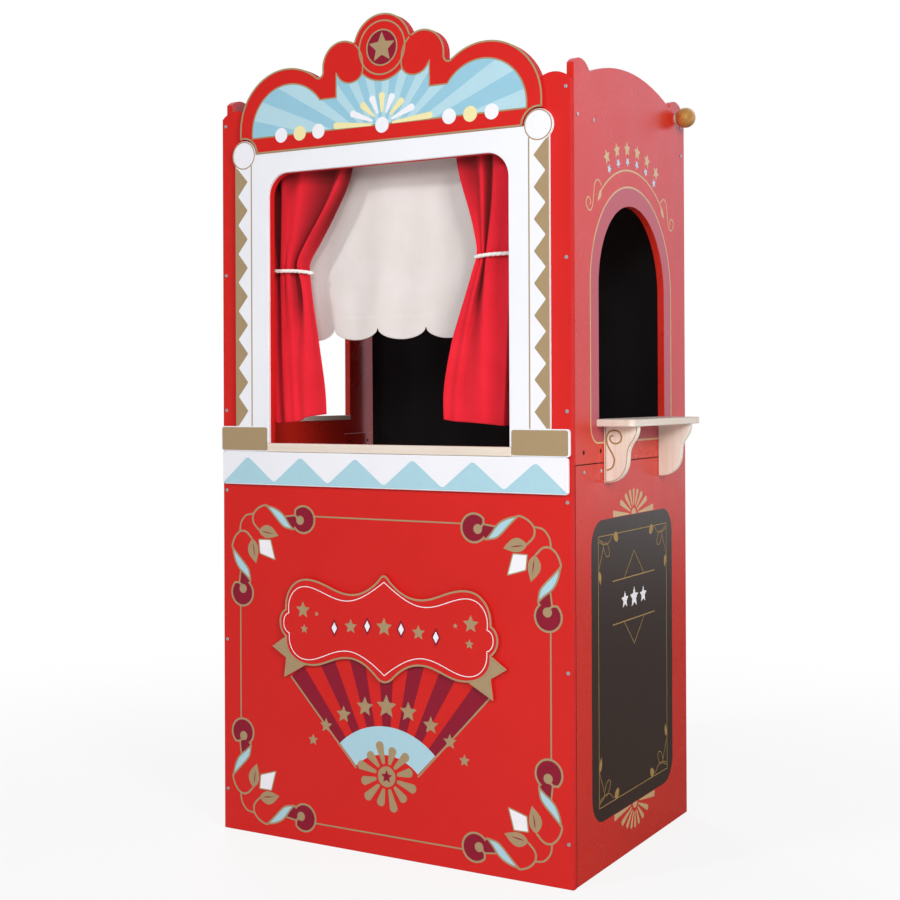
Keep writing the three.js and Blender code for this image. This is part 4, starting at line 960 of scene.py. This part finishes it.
right_curtain = dict(
    crests=[[302, 290, 268, 256, 250, 250, 250, 250, 250, 250, 250],
            [246, 242, 236, 229, 222, 218, 213.2, 209.3, 207.7, 204.6, 201.4],
            [186.3, 187.1, 184.3, 179.5, 173.5, 171.8, 170.6, 169.4, 168.3, 166, 165.5],
            [163, 165, 166.5, 167, 167.2, 159.6, 150.3, 140, 131.7, 119.5, 116.9],
            [117.7, 126.3, 142.4, 151.4, 155.9, 146.8, 136.4, 122.8, 110, 96.7, 96.1]],
    dips=[[16, 18, 20, 20, 20, 20, 18, 18, 18, 18, 16],
          [3, 3, 3, 3, 4, 4, 4, 3, 3, 3, 2],
          [8, 8, 8, 6, 5, 6, 8, 7, 5, 3, 2],
          [4, 5, 5, 4, 3, 2.5, 2.5, 3, 2.5, 2, 1]],
    valleys=[[0.5, 0.5, 0.5, 0.55, 0.6, 0.7, 0.8, 0.84, 0.86, 0.86, 0.86], [0.5] * 11,
             [0.4, 0.45, 0.5, 0.5, 0.5, 0.55, 0.63, 0.67, 0.7, 0.7, 0.6],
             [0.3, 0.3, 0.35, 0.4, 0.45, 0.5, 0.5, 0.5, 0.5, 0.5, 0.5]],
    painted_fold_shades=[[0, 0, 0, 0, 0.1, 0.3, 0.7, 1.1, 1.2, 1.1, 0.6],
            [0.2, 0.1, 0.1, 0.1, 0.1, 0.1, 0.05, 0, 0, 0.05, 0.05],
            [0.95, 1.1, 1.2, 1.2, 1.1, 1.2, 1, 0.5, 0.3, 0.15, 0.1],
            [0.7, 0.55, 0.25, 0.1, 0.05, 0.05, 0.1, 0.1, 0.05, 0, 0]],
    edge=[0.3, 0.3, 0.2, 0.1, 0, 0.1, 0.15, 0.1, 0, 0, 0],
    shares=(0, 0.24, 0.5, 0.72, 1), set_back=(8, 2, 0, 0, 1), hem=(690, 700.5), phase=2.1)
for name, plan in (("left", left_curtain), ("right", right_curtain)):
    points, painted_fold_shade = gathered(**plan)
    piece = cloth("curtain_cloth_" + name, sleeve(points, CURTAIN_ROD, 1.6, 19), (0.23, 0.47),
                  red_cotton, "curtain_" + name, 0.9, painted_fold_shade)
    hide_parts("curtain_" + name)

# The screen: seven scallops, each half an ellipse, waves that grow downwards, and a hem that is
# set forward by half a millimetre
v, u = np.linspace(0, 1, 130)[:, None], np.linspace(0, 1, 281)[None, :]
scallop = 20 * np.sqrt(np.maximum(1 - (2 * (7 * u % 1) - 1)**2, 0))
up = SCREEN_ROD[1] - HANG - v * (269 + scallop)
wave = 2.6 * np.sin(2 * math.pi * 3.5 * u + 1.2 * v + 0.6) + 1.2 * np.sin(2 * math.pi * 8 * u + 2.5 * v)
back = SCREEN_ROD[0] - 2 + wave * (0.35 + 0.65 * v) - 0.45 * ease((868 - up) / 1.2)
points = sleeve(np.stack([-311.3 + 622.6 * u + 0 * v, back, up], 2), SCREEN_ROD, 1.6, 23)
screen = cloth("screen_sheet", points, (0.625, 0.35), cream_cotton, "screen", 0.8)
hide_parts("screen_cloth")

# The backdrop: soft waves that grow downwards, to just over the floor
v, u = np.linspace(0, 1, 150)[:, None], np.linspace(0, 1, 241)[None, :]
wave = 4.2 * np.sin(2 * math.pi * 3 * u + 0.7 * v + 0.3) + 2.0 * np.sin(2 * math.pi * 7 * u + 1.9 * v + 1.1)
back = BACKDROP_ROD[0] + wave * (0.25 + 0.75 * ease(v * 1.4))
points = np.stack([-304.8 + 609.6 * u + 0 * v, back, 1201 - 1126 * v + 0 * u], 2)
backdrop = cloth("backdrop_sheet", sleeve(points, BACKDROP_ROD, 1.6, 15), (0.615, 1.18),
                 black_cotton, "backdrop", 0.9)
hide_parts("backdrop_cloth")


# Tie ropes: three strands twisted, closed round the gathered cloth, with a toggle at the outer end
def rope(path, radius, strands=3, pitch=9.0, sides=18):
    """A closed tube along the path. Its radius at an angle is radius (0.8 + 0.24 |cos|) of half the
    strands' angle: strands times the angle round the tube, and a twist of one turn over the pitch."""
    ahead = np.roll(path, -1, 0) - np.roll(path, 1, 0)
    ahead /= np.linalg.norm(ahead, axis=1)[:, None]
    up = np.cross(np.cross(ahead, [0, 0, 1.0]), ahead)
    up /= np.linalg.norm(up, axis=1)[:, None]
    out = np.cross(ahead, up)
    steps = np.linalg.norm(np.roll(path, -1, 0) - path, axis=1)
    length = np.concatenate([[0], np.cumsum(steps)[:-1]])
    turns = round(steps.sum() / pitch)
    turn = np.linspace(0, 2 * math.pi, sides, endpoint=False)[None, :]
    twist = 2 * math.pi * turns * length[:, None] / steps.sum()
    reach = radius * (0.8 + 0.24 * np.abs(np.cos((turn * strands + twist) / 2)))
    rise, aside = (np.cos(turn) * reach)[..., None], (np.sin(turn) * reach)[..., None]
    points = path[:, None] + rise * up[:, None] + aside * out[:, None]
    return points.reshape(-1, 3), tube_faces(len(path), sides, closed=True)


def loop_round(across, level, tilt, inner):
    """A flattened ring round the cloth: x from the cosine to the power 0.8 and y from the sine to
    the power 0.7, thinner towards the inner edge, which inner tells by its sign, and the height
    with a slope and a slight sag."""
    turn = np.linspace(0, 2 * math.pi, 420, endpoint=False)
    c, s = np.cos(turn), np.sin(turn)
    x = (across[0] + across[1]) / 2 + (across[1] - across[0]) / 2 * np.sign(c) * np.abs(c)**0.8
    share = (1 + inner * c) / 2
    middle = CURTAIN_ROD[0] - 6 * share
    depth = np.where(s > 0, middle - 11.3, 13.2 - 7 * share)
    y = middle - depth * np.sign(s) * np.abs(s)**0.7
    z = level + tilt * c + 2.2 * (1 - c * c) * np.where(s > 0, 1, 0.3)
    return np.column_stack([x, y, z])


BEAD = [(-7.1, 0), (-7.0, 1.8), (-6.2, 3.6), (-4.6, 4.7), (-2, 5)]
BEAD += [(-along, radius) for along, radius in BEAD[::-1]]
loops = {"left": ((-251, -161), 946, -2.5, 1), "right": ((153.5, 250), 954.5, 0.5, -1)}
for name, loop in loops.items():
    points, faces = rope(loop_round(*loop), 3.1)
    piece = made("cord_" + name, points, faces, white_cord, "curtain_" + name, soft_shade=True)
    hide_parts("tie_rope_" + name)
    points, faces = lathe(BEAD)
    points = points[:, [2, 1, 0]] + np.mean(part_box("tie_toggle_" + name), axis=0) / MM
    piece = made("bead_" + name, points, faces[:, ::-1], white_plastic, "curtain_" + name,
                 soft_shade=True)
    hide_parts("tie_toggle_" + name)


# Camera, light and floor
camera = placed("camera", bpy.data.cameras.new("camera"))
yaw, pitch, roll = -0.52206, 0.00323, -0.0041
forward = Vector((math.sin(yaw) * math.cos(pitch), math.cos(yaw) * math.cos(pitch), math.sin(pitch)))
right_hand = Vector((math.cos(yaw), -math.sin(yaw), 0))
upward = right_hand.cross(forward)
x_axis = right_hand * math.cos(roll) + upward * math.sin(roll)
y_axis = -right_hand * math.sin(roll) + upward * math.cos(roll)
turn = Matrix((x_axis, y_axis, -forward)).transposed().to_4x4()
camera.matrix_world = Matrix.Translation((1.25590, -1.98096, 0.74102)) @ turn
camera.data.lens, camera.data.sensor_width = 58.388, 36
camera.data.shift_y = -0.06807
camera.data.clip_start, camera.data.clip_end = 0.05, 60
bpy.context.scene.camera = camera
bpy.context.scene.view_settings.view_transform = "Standard"

world = bpy.data.worlds.new("studio")
world.use_nodes = True
bpy.context.scene.world = world
sky_out = world.node_tree.nodes["Background"]
rays = add(world, "LightPath")
direction = add(world, "TexCoord")["Generated"]
parts = add(world, "SeparateXYZ", {0: direction})
# the glossy finishes mirror a dark room in front and a white backdrop behind
backdrop_side = {"Value": parts[1], "From Min": -0.1, "From Max": 0.6, "To Min": 0.06, "To Max": 1.18}
behind = add(world, "MapRange", backdrop_side, interpolation_type="SMOOTHSTEP")[0]
upper_part = {"Value": parts[2], "From Min": -0.05, "From Max": 0.22, "To Min": 0.6}
above = add(world, "MapRange", upper_part)[0]
reflected = add(world, "Math", {0: behind, 1: above}, operation="MULTIPLY")[0]
soft = add(world, "Mix", {0: rays["Is Glossy Ray"], 2: 0.15, 3: reflected})[0]
straight = {0: rays["Is Camera Ray"], 1: rays["Is Transmission Ray"]}
seen = add(world, "Math", straight, operation="MAXIMUM")[0]
join(world, add(world, "Mix", {0: seen, 2: soft, 3: 1.0})[0], sky_out.inputs["Strength"])
# what they mirror has a cool tint
tint = {0: rays["Is Glossy Ray"], 6: (1, 1, 1, 1), 7: (0.8, 0.86, 1, 1)}
join(world, add(world, "Mix", tint, data_type="RGBA")[2], sky_out.inputs["Color"])


def shine(name, kind, place, aim, power, mirrored_too=False):
    """A lamp at a place, which looks at a point. The satin faces mirror it only where said."""
    light = bpy.data.lights.new(name, kind)
    light.energy = power
    holder = placed(name, light)
    holder.location = place
    holder.rotation_euler = (Vector(aim) - Vector(place)).to_track_quat("-Z", "Y").to_euler()
    holder.visible_glossy = mirrored_too
    return light


shine("key light", "SUN", (-1.5, -2.5, 2.15), (0, 0, 0.7), 0.92).angle = math.radians(8)
shine("side light", "AREA", (3.0, -1.75, 2.0), (0.3, 0.1, 0.7), 83).size = 1.1
shine("front light", "AREA", (1.3, -3.0, 1.75), (0.1, 0, 0.7), 23, mirrored_too=True).size = 0.8
shine("back light", "AREA", (-2.7, 2.8, 2.0), (-0.2, 0.4, 0.7), 60).size = 1.5

reach, drop = 20, -0.0005
corners = [(x * reach, y * reach, drop) for x, y in ((-1, -1), (1, -1), (1, 1), (-1, 1))]
floor_mesh = bpy.data.meshes.new("floor")
floor_mesh.from_pydata(corners, [], [(0, 1, 2, 3)])
floor = placed("floor", floor_mesh)
white_floor, shader = new_finish("white studio floor", 0.6)
# Far from the stand the floor is seen as white as the backdrop; near it a part of its own light
# remains, so that it holds the stand's shadow, and the lacquer mirrors it as a darker floor.
# The numbers are metres from the middle.
rays = add(white_floor, "LightPath")
place = add(white_floor, "TexCoord")["Object"]
distance = add(white_floor, "VectorMath", {0: place}, operation="LENGTH")["Value"]
near, far = (
    add(white_floor, "MapRange",
        {"Value": distance, "From Min": low, "From Max": high, "To Min": least},
        interpolation_type="SMOOTHSTEP")[0]
    for low, high, least in ((0.6, 2.2, 0.84), (2.5, 12.0, 0.0)))
tone = {0: rays["Is Glossy Ray"], 6: (0.9, 0.9, 0.9, 1), 7: (0.15, 0.09, 0.05, 1)}
tone = add(white_floor, "Mix", tone, data_type="RGBA")[2]
join(white_floor, tone, shader.inputs["Base Color"])
bent = {0: rays["Is Glossy Ray"], 1: rays["Is Transmission Ray"]}
bent = add(white_floor, "Math", bent, operation="MAXIMUM")[0]
seen = {0: rays["Is Camera Ray"], 1: near}
seen = add(white_floor, "Math", seen, operation="MULTIPLY")[0]
share = add(white_floor, "Math", {0: bent, 1: far, 2: seen}, operation="MULTIPLY_ADD")[0]
white = add(white_floor, "Emission", {"Color": (1, 1, 1, 1), "Strength": 1.0})[0]
blend = add(white_floor, "MixShader", {0: share, 1: shader.outputs[0], 2: white})[0]
join(white_floor, blend, white_floor.node_tree.nodes["Material Output"].inputs["Surface"])
floor_mesh.materials.append(white_floor)
